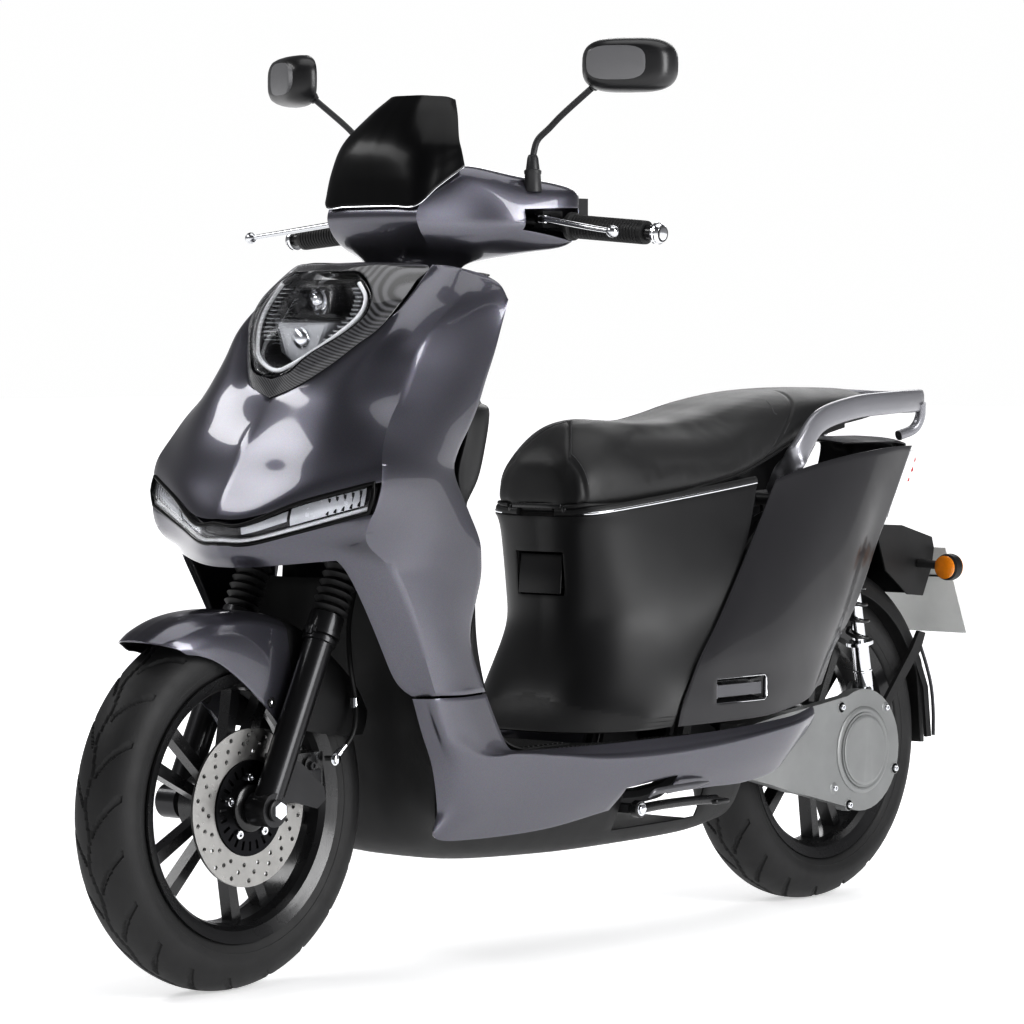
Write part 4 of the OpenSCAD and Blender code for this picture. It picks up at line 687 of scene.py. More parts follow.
PAINT = mat("gunmetal_paint", (0.108, 0.106, 0.128), rough=0.33, metal=0.85, coat=1.0, coat_rough=0.05,
            var=0.05, var_scale=3, rough_var=0.04, flakes=0.25, grain=0.012, grain_scale=220)
PANEL = mat("gloss_panel", (0.014, 0.0135, 0.016), rough=0.36, specular=0.35, coat=0.35,
            coat_rough=0.08, var=0.06, var_scale=5, flakes=0.12, grain=0.01, grain_scale=180)
SATIN = mat("satin_panel", (0.011, 0.011, 0.0118), rough=0.4, var=0.06, var_scale=6, grain=0.05,
            grain_scale=1500, coat=0.1, coat_rough=0.3, specular=0.35)
TRIM = mat("grained_trim", (0.009, 0.009, 0.0095), rough=0.5, var=0.12, grain=0.3, grain_scale=1100,
           wear=0.12)
GLOSS = mat("gloss_black", (0.003, 0.003, 0.0034), rough=0.3, coat=0.12, coat_rough=0.15,
            specular=0.16, var=0.1, rough_var=0.02)
CARBON = carbon_material()
CLEAR = mat("clear_lens", (0.97, 0.98, 1.0), rough=0.04, rough_var=0.01, transmission=1.0, ior=1.12,
            alpha=0.30, var=0.01)
SMOKE = mat("smoked_lens", (0.82, 0.83, 0.86), rough=0.06, rough_var=0.01, transmission=1.0, ior=1.15,
            alpha=0.35, var=0.02)
BEZEL = mat("bezel_black", (0.014, 0.014, 0.016), rough=0.25, coat=0.6, var=0.1, grain=0.1,
            grain_scale=700)
MIRRORED = mat("reflector_chrome", (0.86, 0.87, 0.9), rough=0.12, metal=1.0, var=0.04, grain=0.15,
               grain_scale=350)
GUIDE = mat("light_guide", (0.86, 0.87, 0.90), rough=0.22, var=0.03, glow=0.10, coat=0.6)
PEARL = mat("lamp_grey", (0.62, 0.63, 0.66), rough=0.25, metal=0.25, var=0.1, var_scale=30, coat=0.7)
STEEL = mat("powder_coat", (0.025, 0.025, 0.027), rough=0.42, var=0.12, grain=0.22, grain_scale=1300,
            wear=0.2)
FORK = mat("fork_leg_paint", (0.030, 0.030, 0.032), rough=0.32, metal=0.75, var=0.08, var_scale=14,
           grain=0.05, grain_scale=900, wear=0.15, coat=0.3)
CHROME = mat("bright_chrome", (0.78, 0.79, 0.81), rough=0.09, metal=1.0, var=0.03, rough_var=0.04)
SILVER = mat("satin_silver", (0.27, 0.27, 0.29), rough=0.32, metal=0.6, var=0.05, var_scale=5,
             grain=0.04, grain_scale=1400, coat=0.35, coat_rough=0.2)
POLISHED = mat("polished_alloy", (0.66, 0.67, 0.69), rough=0.2, metal=1.0, var=0.05, var_scale=12,
               rough_var=0.06, grain=0.04, grain_scale=500, wear=0.1)
CAST = mat("cast_silver", (0.27, 0.275, 0.275), rough=0.42, metal=0.5, var=0.07, var_scale=14,
           grain=0.25, grain_scale=900, wear=0.15, wear_color=(0.6, 0.6, 0.6))
BLACKCAST = mat("cast_black", (0.016, 0.016, 0.017), rough=0.28, metal=0.2, coat=0.5, coat_rough=0.15,
                var=0.1, grain=0.1, grain_scale=900, wear=0.15)
DISC = disc_material()
TYRE = mat("tyre_rubber", (0.017, 0.017, 0.0175), rough=0.58, var=0.22, var_scale=16, grain=0.35,
           grain_scale=420, wear=0.25, wear_color=(0.04, 0.04, 0.039))
RUBBER = mat("moulded_rubber", (0.011, 0.011, 0.0115), rough=0.5, var=0.14, grain=0.3,
             grain_scale=800, wear=0.12)
VINYL = mat("seat_vinyl", (0.014, 0.014, 0.0145), rough=0.45, var=0.10, var_scale=7, grain=0.32,
            grain_scale=520, leather=True, sheen=0.12, wear=0.05)
# darker copy of the seat vinyl for the nose panel: the smoother grain is the panel's own, the darker tone is
# painted shade of the seat's front face
VINYL_NOSE_PAINTED_SHADE = mat("seat_vinyl_front_painted_shade", (0.008, 0.008, 0.0085), rough=0.45, var=0.1, var_scale=9, grain=0.2,
                   grain_scale=620, leather=True, sheen=0.1)
THREAD = mat("stitch_thread", (0.10, 0.10, 0.105), rough=0.7, var=0.2, var_scale=60, grain=0.4,
             grain_scale=2400)
PLATE = mat("plate_blank", (0.70, 0.71, 0.70), rough=0.35, var=0.05, var_scale=18, grain=0.08,
            grain_scale=600, coat=0.4)
AMBER = mat("amber_lens", (0.85, 0.30, 0.012), rough=0.16, var=0.15, var_scale=70, coat=1.0,
            transmission=0.25, ior=1.4)
RED = mat("red_lens", (0.42, 0.012, 0.015), rough=0.15, var=0.15, var_scale=50, coat=1.0)
TAIL = mat("tail_lens", (0.80, 0.81, 0.83), rough=0.12, var=0.06, var_scale=40, coat=1.0)
GLASS = mat("mirror_glass", (0.80, 0.83, 0.86), rough=0.03, metal=1.0, var=0.01, rough_var=0.01)
SHELL = mat("mirror_shell", (0.014, 0.014, 0.015), rough=0.34, var=0.08, grain=0.12, grain_scale=1200,
            coat=0.2, coat_rough=0.2)
INSET = mat("mirror_inset", (0.15, 0.15, 0.155), rough=0.4, var=0.05, grain=0.12, grain_scale=1300)
SCREEN = mat("display_glass", (0.008, 0.009, 0.011), rough=0.06, coat=1.0, coat_rough=0.02, var=0.1)
GREYKEY = mat("grey_key", (0.30, 0.30, 0.32), rough=0.4, var=0.08, grain=0.1)
REDKEY = mat("red_key", (0.45, 0.03, 0.025), rough=0.35, var=0.08, grain=0.1)
STRIPE = mat("edge_strip", (0.15, 0.15, 0.16), rough=0.34, metal=0.6, var=0.06, grain=0.05)

CAD_MATERIALS = {
    "frame": STEEL, "steering_stem": STEEL, "fork_legs": FORK, "fork_tubes": CHROME,
    "fork_boots": RUBBER, "front_axle": CHROME, "front_caliper": BLACKCAST, "front_disc": DISC,
    "swingarm": BLACKCAST, "rear_axle": CHROME, "shock_rods": CHROME, "shock_bodies": CHROME,
    "battery_pack": TRIM, "seat_pan": TRIM, "horn_button": GREYKEY, "start_button": REDKEY,
    "switch_pods": TRIM, "plate_bracket": TRIM, "number_plate": PLATE, "rear_rim": BLACKCAST,
    "front_rim": BLACKCAST, "motor_case": CAST, "footpeg_left": STRIPE,
    "footpeg_right": STRIPE, "handlebar": BLACKCAST,
}
for node_name, material in CAD_MATERIALS.items():
    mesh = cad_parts[node_name].data
    mesh.materials.clear()
    mesh.materials.append(material)

# ------------------------------------------------------------------ camera, floor and light

AZ, EL = math.radians(40.504), math.radians(2.316)
CAMERA_AWAY = 6.655                      # metres from the target
FOCAL_PIXELS, PICTURE_PIXELS = 4454, 1024
SENSOR = 36                              # millimetres
target = Vector((0, -0.0869, 0.6471))
back = Vector((math.sin(AZ) * math.cos(EL), -math.cos(AZ) * math.cos(EL), math.sin(EL)))
cam = bpy.data.cameras.new("camera")
cam.lens = FOCAL_PIXELS / PICTURE_PIXELS * SENSOR
cam.sensor_width = SENSOR
cam.clip_end = 100
cam_object = bpy.data.objects.new("camera", cam)
scene.collection.objects.link(cam_object)
cam_object.location = target + back * CAMERA_AWAY
cam_object.rotation_mode = "QUATERNION"
cam_object.rotation_quaternion = (-back).to_track_quat("-Z", "Y")
scene.camera = cam_object

floor_mesh = bpy.data.meshes.new("floor")
floor_mesh.from_pydata([(-40, -40, 0), (40, -40, 0), (40, 40, 0), (-40, 40, 0)], [], [(0, 1, 2, 3)])
floor_object = bpy.data.objects.new("floor", floor_mesh)
floor_pale = mat("floor_pale", (0.86, 0.86, 0.865), rough=0.75, var=0.01, specular=0.1, glow=0.55)
ft = floor_pale.node_tree
# the floor brightens with distance, so that it meets the backdrop without an edge
far = shader(ft, "VectorMath", {0: shader(ft, "TexCoord").outputs["Object"]}, operation="LENGTH")
rise = shader(ft, "MapRange", {"Value": far.outputs["Value"], "From Min": 1.2, "From Max": 4.5,
                               "To Min": 0.55, "To Max": 1.1})
ft.links.new(rise.outputs["Result"], ft.nodes["Principled BSDF"].inputs["Emission Strength"])
floor_mesh.materials.append(floor_pale)
scene.collection.objects.link(floor_object)


def softbox(name, direction, distance, size, power):
    """Area light that looks at the middle of the scooter."""
    d = Vector(direction).normalized()
    data = bpy.data.lights.new(name, "AREA")
    data.shape = "RECTANGLE"
    data.size, data.size_y = size
    data.energy = power
    o = bpy.data.objects.new(name, data)
    o.location = Vector((0, 0, 0.7)) + d * distance
    o.rotation_mode = "QUATERNION"
    o.rotation_quaternion = (-d).to_track_quat("-Z", "Y")
    scene.collection.objects.link(o)


softbox("flank_light", (0.97, 0.02, 0.26), 4.0, (1.8, 2.6), 135)
softbox("front_light", (-0.55, -0.55, 0.62), 4.4, (3.6, 0.9), 70)
softbox("top_light", (0.15, 0.1, 1.0), 4.4, (4.2, 4.2), 105)
softbox("rear_light", (-0.45, 0.9, 0.5), 4.6, (2.4, 2.0), 40)

world = bpy.data.worlds.new("studio")
world.use_nodes = True
scene.world = world
wt = world.node_tree
height_of = shader(wt, "SeparateXYZ", {0: shader(wt, "TexCoord").outputs["Generated"]}).outputs["Z"]
shade = ramp_of(wt, height_of, ((0.0, (0.42, 0.42, 0.43, 1)), (0.55, (0.10, 0.10, 0.105, 1))))
seen = shader(wt, "LightPath").outputs["Is Camera Ray"]
background = wt.nodes["Background"]
wt.links.new(mixed(wt, seen, shade, (1.05, 1.05, 1.05, 1)), background.inputs["Color"])
background.inputs["Strength"].default_value = 0.95
scene.view_settings.view_transform = "Standard"
scene.view_settings.gamma = 0.8

# ------------------------------------------------------------------ front body

shield_crease = [0, 0.5, 0.9] + [1] * 14 + [0.8]
panel("shield_panel", SHIELD_ROWS, "chassis", PAINT, opened=[(9, 0, 2)] + [(i, 0, 1) for i in range(12, 17)],
      creases=[(3, shield_crease)], smooth_angle=34, ironed=26, node="front_shield")
panel("lamp_surround", SURROUND_ROWS, "chassis", CARBON, t=2.0, node="headlight_surround")
panel("headlight_cover", LENS_ROWS, "chassis", CLEAR, t=2.0, k=10, edge=0, node="headlight_lens")

# bowl behind the clear cover: from its rim back to the lamp's plate
LAMP_Z, LAMP_BACK_Y = 935, -452
bowl_rows = []
for x, y, z in [row[-1] for row in LENS_ROWS]:
    cx, cz = x * 0.86, LAMP_Z + (z - LAMP_Z) * 0.88
    bowl_rows.append([(x + 1, y + 3, z), (x * 0.97, y + 12, LAMP_Z + (z - LAMP_Z) * 0.98),
                      (cx, LAMP_BACK_Y, cz), (0, LAMP_BACK_Y, cz)])
panel("headlight_bowl", bowl_rows, "chassis", BEZEL, side=-1, t=1.2, k=6, edge=0)
housing = [round_box((0, -456, 930), (150, 10, 96), 3), round_box((0, -466, 962), (78, 24, 42), 6),
           round_box((0, -486, 939), (104, 18, 5), 2)]
piece("headlight_housing", join(housing), "chassis", BEZEL, node="headlight_unit")


def hollow_box(at, outer, inner, deep, r):
    """A rectangular mouth: outer and inner are (width, height); it opens towards -y."""
    def ring(w, h, y, rr):
        pts = []
        for qx, qz, a0 in ((1, 1, 0), (-1, 1, 90), (-1, -1, 180), (1, -1, 270)):
            for a in (0, 22, 45, 67, 90):
                b = math.radians(a0 + a)
                pts.append((at[0] + qx * (w / 2 - rr) + rr * math.cos(b), at[1] + y,
                            at[2] + qz * (h / 2 - rr) + rr * math.sin(b)))
        return pts
    rings = [ring(*outer, deep, r), ring(*outer, 2, r), ring(outer[0] - 2, outer[1] - 2, 0, r),
             ring(inner[0] + 1, inner[1] + 1, 0, r * 0.8), ring(*inner, 2, r * 0.8),
             ring(inner[0] * 0.7, inner[1] * 0.7, deep * 0.8, r * 0.6)]
    return turned_over((np.array(rings).reshape(-1, 3), ring_faces(len(rings), len(rings[0]))))


piece("headlight_projector_frame", hollow_box((8, -494, 960), (66, 40), (54, 30), 26, 8), "chassis", BEZEL)
piece("headlight_projector", join([
    turned((8, -476, 960), (0, -1, 0), [(0, 13), (4, 13), (10, 10.5), (14, 6), (15, 1)], 40),
    turned((8, -480, 960), (0, -1, 0), [(0, 16), (2, 16), (2.5, 13.5), (0.5, 13)], 40)]),
    "chassis", MIRRORED)
low_frame = [(-46, 929), (52, 929), (30, 884), (6, 866), (-6, 866), (-30, 884)]


def plate_from(outline, y0, y1, inset):
    """Bevelled plate facing -y through (x, z) points."""
    p = np.array(outline, float)
    c = p.mean(0)
    small = c + (p - c) * (1 - inset / np.abs(p - c).max())
    rings = ((y1, p), (y0 + inset, p), (y0, small))
    return np.array([(x, y, z) for y, ring in rings for x, z in ring]), ring_faces(3, len(p))


piece("headlight_reflector", plate_from(low_frame, -512, -466, 4), "chassis", PEARL, 25)
low_lens = turned((4, -510, 906), (0, -1, 0), [(0, 15), (4, 15), (8, 12), (11, 6), (12, 1)], 40)
piece("headlight_reflector_lens", low_lens, "chassis", MIRRORED)
guide = [(74, -469, 985), (90, -473, 964), (93, -489, 940), (78, -515, 914), (48, -547, 884), (22, -558, 868),
         (0, -559, 862)]
piece("headlight_guide", tube_mesh(guide + [(-x, y, z) for x, y, z in guide[-2::-1]], 3.2, n=12, k=8),
      "chassis", GUIDE)
rib_z, rib_x, rib_y = [900, 914, 940, 964, 985], [60, 72, 86, 84, 68], [-520, -508, -484, -470, -464]
ribs = []
for s in (-1, 1):
    for z in range(905, 983, 6):
        x, y = np.interp(z, rib_z, rib_x), np.interp(z, rib_z, rib_y)
        ribs.append(round_box((s * (x - 7), y + 2, z), (13, 12, 1.8), 0.6))
piece("headlight_ribs", join(ribs), "chassis", PEARL)

# lamp strip along the hood's lower edge
panel("lamp_strip_cover", DRL_ROWS, "chassis", SMOKE, t=2.0, k=10, edge=0, node="drl_lens")


def drl_at(u, v, depth):
    """Point of the lamp strip: u 0 to 1 outwards, v 0 at its top, depth behind it in mm."""
    m = np.asarray(on_curve(np.array([on_curve(r, u * 3)[0] for r in DRL_ROWS]), v * 2)[0])
    return m + np.array([-0.25, 0.95, 0.1]) * depth


def drl_patch(u0, u1, v0, v1, depth, name, material, mirror="weld"):
    """A sheet behind the lamp strip's cover."""
    rows = [[tuple(drl_at(u0 + (u1 - u0) * j / 24, v0 + (v1 - v0) * i / 3, depth)) for j in range(25)]
            for i in range(4)]
    panel(name, rows, "chassis", material, t=1.2, k=1, mirror=mirror, edge=0)


drl_patch(0.0, 1.0, -0.02, 1.02, 13, "lamp_strip_base", BEZEL)
drl_patch(0.62, 0.96, 0.12, 0.70, 6, "lamp_strip_reflector", PEARL, mirror="both")
drl_patch(0.30, 0.60, 0.16, 0.52, 8, "lamp_strip_inner", PEARL, mirror="both")
parts = []
for s in range(5):
    a, b = drl_at(0.80 + 0.034 * s, 0.14, 5), drl_at(0.80 + 0.034 * s, 0.68, 5)
    parts.append(tube_mesh([a, (a + b) / 2, b], 1.3, 3.2, n=8, k=1, up=(1, 0, 0)))
piece("lamp_strip_louvres", both(join(parts)), "chassis", BEZEL)
low = [drl_at(u, 0.86, 5) for u in np.linspace(0, 0.985, 22)]
line = low[::-1] + [p * np.array([-1, 1, 1]) for p in low[1:]]
piece("lamp_strip_guide", tube_mesh(line, 2.4, 3.4, n=12, k=2), "chassis", GUIDE)
edge = [drl_at(u, 0.0, -0.5) for u in np.linspace(0, 1, 22)]
edge += [drl_at(1.0, v, -0.5) for v in (0.25, 0.5, 0.75)]
edge += [drl_at(u, 1.0, -0.5) for u in np.linspace(1, 0, 22)]
piece("lamp_strip_frame", both(tube_mesh(edge, 3.2, 3.2, n=10, k=1, up=(0.2, 1, 0.1))), "chassis", GLOSS)

panel("inner_shield_panel", INNER_ROWS, "chassis", SATIN, side=-1, k=6, node="inner_leg_shield")
panel("neck_collar", COLLAR_ROWS, "chassis", TRIM, side=-1)
# the side stand folds through a notch in the belly and in the left skirt
panel("belly_panel", BELLY_ROWS, "chassis", TRIM, k=6, opened=[(8, 3, 3)], right_opened=[], node="belly_pan")
panel("skirt_left", SKIRT_ROWS, "chassis", PAINT, side=-1, opened=[(7, 3, 3)], mirror="left",
      node="side_skirts")
panel("skirt_right", SKIRT_ROWS, "chassis", PAINT, side=-1, mirror="right")

# ribbed mat with rows of studs at its sides
ribs = [round_box((0, -155.5 + 11 * i, 308.6), (226, 5, 3.4), 1.4) for i in range(9)]
piece("floor_mat_ribbed", join([round_box((0, -110, 306.8), (240, 100, 2.6), 1)] + ribs), "chassis", RUBBER,
      node="floor_mat")
studs = [round_box((s * (143 + 9 * i), -112 + 10 * j + 5 * (i % 2), 306.4 - 0.2 * i), (5, 5, 3), 1.2)
         for i in range(3) for j in range(30) for s in (-1, 1)]
piece("floor_studs", join(studs), "chassis", RUBBER)

# ------------------------------------------------------------------ body under the seat

under = panel("underseat_panel", UNDER_ROWS, "chassis", SATIN, opened=[(1, 0, 0)], ironed=16,
              node="underseat_body")
# its flared foot is part of the rubber floor, up to a line that falls outwards (metres)
FOOT_TOP, FOOT_FALL = 0.375, 0.2
under.data.materials.append(RUBBER)
for face in under.data.polygons:
    if face.center.z < FOOT_TOP - FOOT_FALL * abs(face.center.x):
        face.material_index = 1
parts = []
for i, u in enumerate((5.3, 5.56, 5.82)):
    line = on_curve(np.array(UNDER_ROWS, float), np.array([u]))[0]
    for v in np.linspace(2.1, 4.9, 30) + 0.045 * (i % 2):
        at = on_curve(line, np.array([v]))[0]
        parts.append(turned(at, (0.25, -0.45, 0.85), [(-1, 2.7), (1.2, 2.7), (1.8, 1.9)], 10))
    for v in (0.25, 0.7, 1.15, 1.6):
        a, b = on_curve(line, np.array([v, v + 0.3]))
        parts.append(tube_mesh([a, (a + b) / 2 + np.array([0, 5, 3]), b], 1.6, n=8, k=1))
piece("floor_foot_studs", both(join(parts)), "chassis", RUBBER)
tray = hollow_box((0, 19, 553), (92, 74), (86, 68), 40, 4)
socket = turned((0, 60, 552), (0, -1, 0), [(0, 19), (20, 19), (22, 18), (22, 15), (8, 15), (8, 0)], 40)
piece("charging_tray", join([tray, socket]), "chassis", TRIM)
lid_rot = rot_x(-5)
lid = round_box((0, 16.2, 552.5), (82, 3.4, 60), 1.4, rot=lid_rot)
tab = round_box((0, 14.4, 527), (18, 3, 5), 1.2, rot=lid_rot)
piece("charging_lid", join([lid, tab]), "charging_lid", SATIN, node="charge_lid")

for which in ("left", "right"):
    panel("side_panel_" + which + "_skin", SIDE_ROWS, "chassis", PANEL, side=-1, opened=[(1, 5, 5)],
          mirror=which, ironed=8, node="side_panel_" + which)

# dark recess and chromed rim around the folding footrest
POCKET_Y, POCKET_Z = 259, 373
v, f = hollow_box((0, 0, 0), (134, 42), (128, 36), 22, 5)
pocket = np.stack([190.5 - v[:, 1], POCKET_Y + v[:, 0], POCKET_Z + v[:, 2]], 1), f
pin = turned((181, 205, 352), (0, 0, 1), [(0, 3), (41, 3)], 24)
piece("footrest_recess", both(join([pocket, pin])), "chassis", BLACKCAST)
pocket_edge = [(192.4, POCKET_Y + dy, POCKET_Z + dz) for dy, dz in
               ((-65, -14), (-60, -19), (60, -19), (65, -14), (65, 14), (60, 19), (-60, 19), (-65, 14))]
piece("footrest_rim", both(tube_mesh(pocket_edge + pocket_edge[:1], 1.3, 1.3, n=8, k=1, up=(1, 0, 0))),
      "chassis", CHROME)

# trim strip between the seat and the body, and the lip under the seat
upper = on_curve(np.array(UNDER_ROWS[0]), np.linspace(0.9, 5, 60))
strip = [(x + 1.2, y, z + 2.5) for x, y, z in upper]
piece("seat_trim_strip", both(tube_mesh(strip[8:], 1.6, 2.2, n=10, k=1)), "chassis", CHROME)
base_strip = [(x - 3, y + 2, z + 5.5) for x, y, z in upper]
piece("seat_base_lip", both(tube_mesh(base_strip, 5, 7, n=12, k=1)), "chassis", TRIM)

panel("tail_panel", TAIL_ROWS, "chassis", PANEL, side=-1, node="tail_cover")
lamp_half = [(0, 0), (34, 0), (56, -8), (66, -30)]


def lamp_ring(y, z, s, d):
    """Outline of the tail lamp at one height: width share s, depth d."""
    p = on_curve(np.array(lamp_half, float), np.linspace(0, 3, 16)) * np.array([s, 1])
    outer = [(x, y + d + dy, z) for x, dy in p]
    inner_r = [(x, y + dy, z) for x, dy in p]
    return (outer + inner_r[::-1] + [(-x, yy, zz) for x, yy, zz in inner_r[1:]]
            + [(-x, yy, zz) for x, yy, zz in outer[:0:-1]])


def loft(rings):
    """Closed skin through rings of points, facing the other way than ring_faces."""
    n = len(rings[0])
    v = np.array(rings, float).reshape(-1, 3)
    faces = [(i * n + j, (i + 1) * n + j, (i + 1) * n + (j + 1) % n, i * n + (j + 1) % n)
             for i in range(len(rings) - 1) for j in range(n)]
    return v, faces + [tuple(range(n)), tuple(reversed([(len(rings) - 1) * n + j for j in range(n)]))]


levels = on_curve(np.array([(884, 720, 0.98, 34), (880, 700, 1, 30), (872, 660, 0.94, 18),
                            (859, 610, 0.7, 8)], float),
                  np.linspace(0, 3, 22))
piece("tail_lamp_lens", loft([lamp_ring(*r) for r in levels]), "chassis", TAIL, node="tail_lamp")
bars = []
for y, z, s in ((911, 706, 1), (904, 690, 1), (897, 674, 0.95)):
    bow = [(x * s, y + dy, z) for x, dy in ((-52, -1), (-30, 6), (0, 7), (30, 6), (52, -1))]
    bars.append(tube_mesh(bow, 3, 4.5, n=10, k=6))
piece("tail_lamp_bars", join(bars), "chassis", RED)

rail_path = [(88, 478, 662), (112, 468, 692), (138, 462, 712), (147, 472, 734), (147, 520, 776),
             (140, 620, 796),
             (124, 740, 802), (98, 850, 804), (66, 900, 802), (30, 914, 800), (0, 918, 800)]
rail_all = rail_path + [(-x, y, z) for x, y, z in rail_path[-2::-1]]
rail = tube_mesh(rail_all, 7.8, 18.4, n=24, k=8, power=0.6)
stays = both(tube_mesh([(100, 860, 800), (94, 866, 776), (88, 856, 757), (80, 826, 747)],
                       8, 8, n=16, k=8, up=(1, 0, 0), power=0.8))
piece("grab_rail_bar", join([rail, stays]), "chassis", SILVER, node="grab_rail")

# rear indicators: black stalk and bezel, amber lens
stalk = join([tube_mesh([(75.6, 890, 536), (92, 893, 535), (114, 898, 533)], 8, 7, n=14, k=4),
              turned((128, 892, 531), (0, 1, 0), [(0, 17), (3, 21.5), (16, 22), (18, 21.5), (18, 20)], 40)])
piece("indicator_stalks", both(stalk), "chassis", TRIM, node="rear_indicators")
lens_r = join([turned((128, 909, 531), (0, 1, 0),
                      [(0, 20.6), (4, 20.6), (6, 19.2), (7, 15), (7.4, 6), (7.5, 0.5)], 40),
               turned((128, 889, 531), (0, -1, 0), [(-2, 19), (1, 19), (3, 16), (3.4, 6), (3.5, 0.5)], 40)])
piece("indicator_lenses", both(lens_r), "chassis", AMBER)
plate_lamp = round_box((0, 934, 584), (34, 16, 12), 3)
plate_edge = round_box((0, 958, 512), (176, 3, 3), 1, rot=rot_x(24))
piece("plate_lamp", join([plate_lamp, plate_edge]), "chassis", TRIM)
plate_bolts = join([bolt((s * 70, 958, 520), (0, 0.92, 0.4), 4.5, 3.5) for s in (-1, 1)])
piece("plate_bolts", plate_bolts, "chassis", CHROME)

# ------------------------------------------------------------------ steering group

panel("handlebar_shroud", COVER_ROWS, "steering", PAINT, side=-1, opened=[(3, 4, 4)],
      creases=[(2, [0, 0.4, 1, 1, 1, 1, 1])], smooth_angle=28, ironed=4, node="handlebar_cover")
panel("windscreen_panel", SCREEN_ROWS, "steering", GLOSS, side=-1, t=3.0, edge=0.001, node="windscreen")
screen_foot = patch(SCREEN_ROWS, 8)[0] + np.array([0, -1.0, -1.2])
piece("screen_edge_line", both(tube_mesh(screen_foot, 1.1, 1.1, n=8, k=1)), "steering", CHROME)
outline = [(0, -262, 1147), (38, -260, 1147), (70, -252, 1148), (84, -232, 1147), (95, -198, 1137),
           (104, -152, 1126),
           (74, -130, 1120), (0, -127, 1118)]
half = on_curve(np.array(outline, float), np.linspace(0, 7, 43))
full = [tuple(p) for p in half] + [(-p[0], p[1], p[2]) for p in half[-2:0:-1]]


def dash_ring(s, dz):
    """The display's outline scaled by s about y = -190 and raised by dz."""
    return [(x * s, (y + 190) * s - 190, z + dz) for x, y, z in full]


dash = [dash_ring(1, -14), dash_ring(1, -2), dash_ring(0.985, 0.6), dash_ring(0.9, 2.2), dash_ring(0.86, 1.4)]
piece("dash_frame", turned_over(loft(dash)), "steering", TRIM, node="dash_panel")
glass = [dash_ring(0.855, 0.6), dash_ring(0.85, 2.6), dash_ring(0.8, 3.0)]
piece("dash_display", turned_over(loft(glass)), "steering", SCREEN)

GRIP_IN, GRIP_OUT = np.array([180, -152, 1070.0]), np.array([352, -146, 1056.0])
grip_dir = (GRIP_OUT - GRIP_IN) / np.linalg.norm(GRIP_OUT - GRIP_IN)


def grip_part():
    """Rubber grip with rings, pads and a flange."""
    prof = [(18, 12.6), (18, 20.5), (24, 20.5), (26, 17.5)]
    s = 27.0
    while s < 150:
        prof += [(s, 17.2), (s + 0.6, 16.2), (s + 2.4, 16.2), (s + 3.0, 17.2)]
        s += 5.6
    prof += [(s, 17.2), (155, 16.8), (156, 12.6), (156, 11.3), (18, 11.3)]
    n = 40
    v, f = turned(GRIP_IN, grip_dir, prof, n)
    last = (len(prof) - 1) * n
    # the bore is open: the last ring joins the first instead of two caps
    return v, f[:-2] + [(last + j, last + (j + 1) % n, (j + 1) % n, j) for j in range(n)]


piece("grip_rubber_left", grip_part(), "steering", RUBBER, node="grip_left")
piece("grip_rubber_right", flipped(grip_part()), "throttle", RUBBER, node="throttle_grip")
end = turned(GRIP_OUT, grip_dir, [(-1, 15.5), (2, 15.5), (3, 14), (5, 14), (6, 15), (10, 12.5), (12, 9),
                                  (12.5, 0)], 40)
piece("bar_ends", both(end), "steering", CHROME)

lever_points = [(184, -200, 1078), (206, -212, 1077), (250, -224, 1071), (300, -236, 1064), (346, -244, 1058)]
blade = tube_mesh(lever_points, 6.2, 4.6, n=16, k=10, power=0.8, scale=[1, 0.95, 0.9, 0.85, 0.8])
ball = turned((346, -244.2, 1057.6), (0.98, -0.17, -0.1),
              [(-4, 3), (-1, 6.2), (2.5, 8.2), (6, 8.9), (9.5, 8.2), (13, 5.6), (14.9, 0.4)], 32)
hub = turned((176, -190, 1072.2), (0, 0, 1),
             [(0, 9.5), (0.8, 10.8), (10.8, 10.8), (11.6, 9.5), (11.6, 3.1), (0, 3.1)], 40)
web = round_box((187, -198, 1078), (16, 9, 7.6), 2, rot=rot_z(-35))
lever = join([blade, ball, hub, web])
piece("lever_blade_left", lever, "brake_lever_left", POLISHED, node="lever_left")
piece("lever_blade_right", flipped(lever), "brake_lever_right", POLISHED, node="lever_right")

stem_points = [(165, -198, 1158), (165.5, -197, 1172), (170, -193, 1192), (190, -190, 1209),
               (215, -190, 1228),
               (268, -190, 1263)]
stem = join([tube_mesh(stem_points, 4.6, n=16, k=8),
             turned((165, -198, 1118), (0, 0, 1),
                    [(0, 13), (24, 11.5), (26, 12.5), (30, 12.5), (32, 10), (48, 8), (52, 6.5), (53, 5)],
                    32),
             turned((275, -190, 1268), (0, 0, 1), [(-8.8, 1), (-6.5, 6), (0, 8.9), (6.5, 6), (8.8, 1)], 32)])
piece("mirror_stem_rods", both(stem), "steering", STEEL, node="mirror_stems")


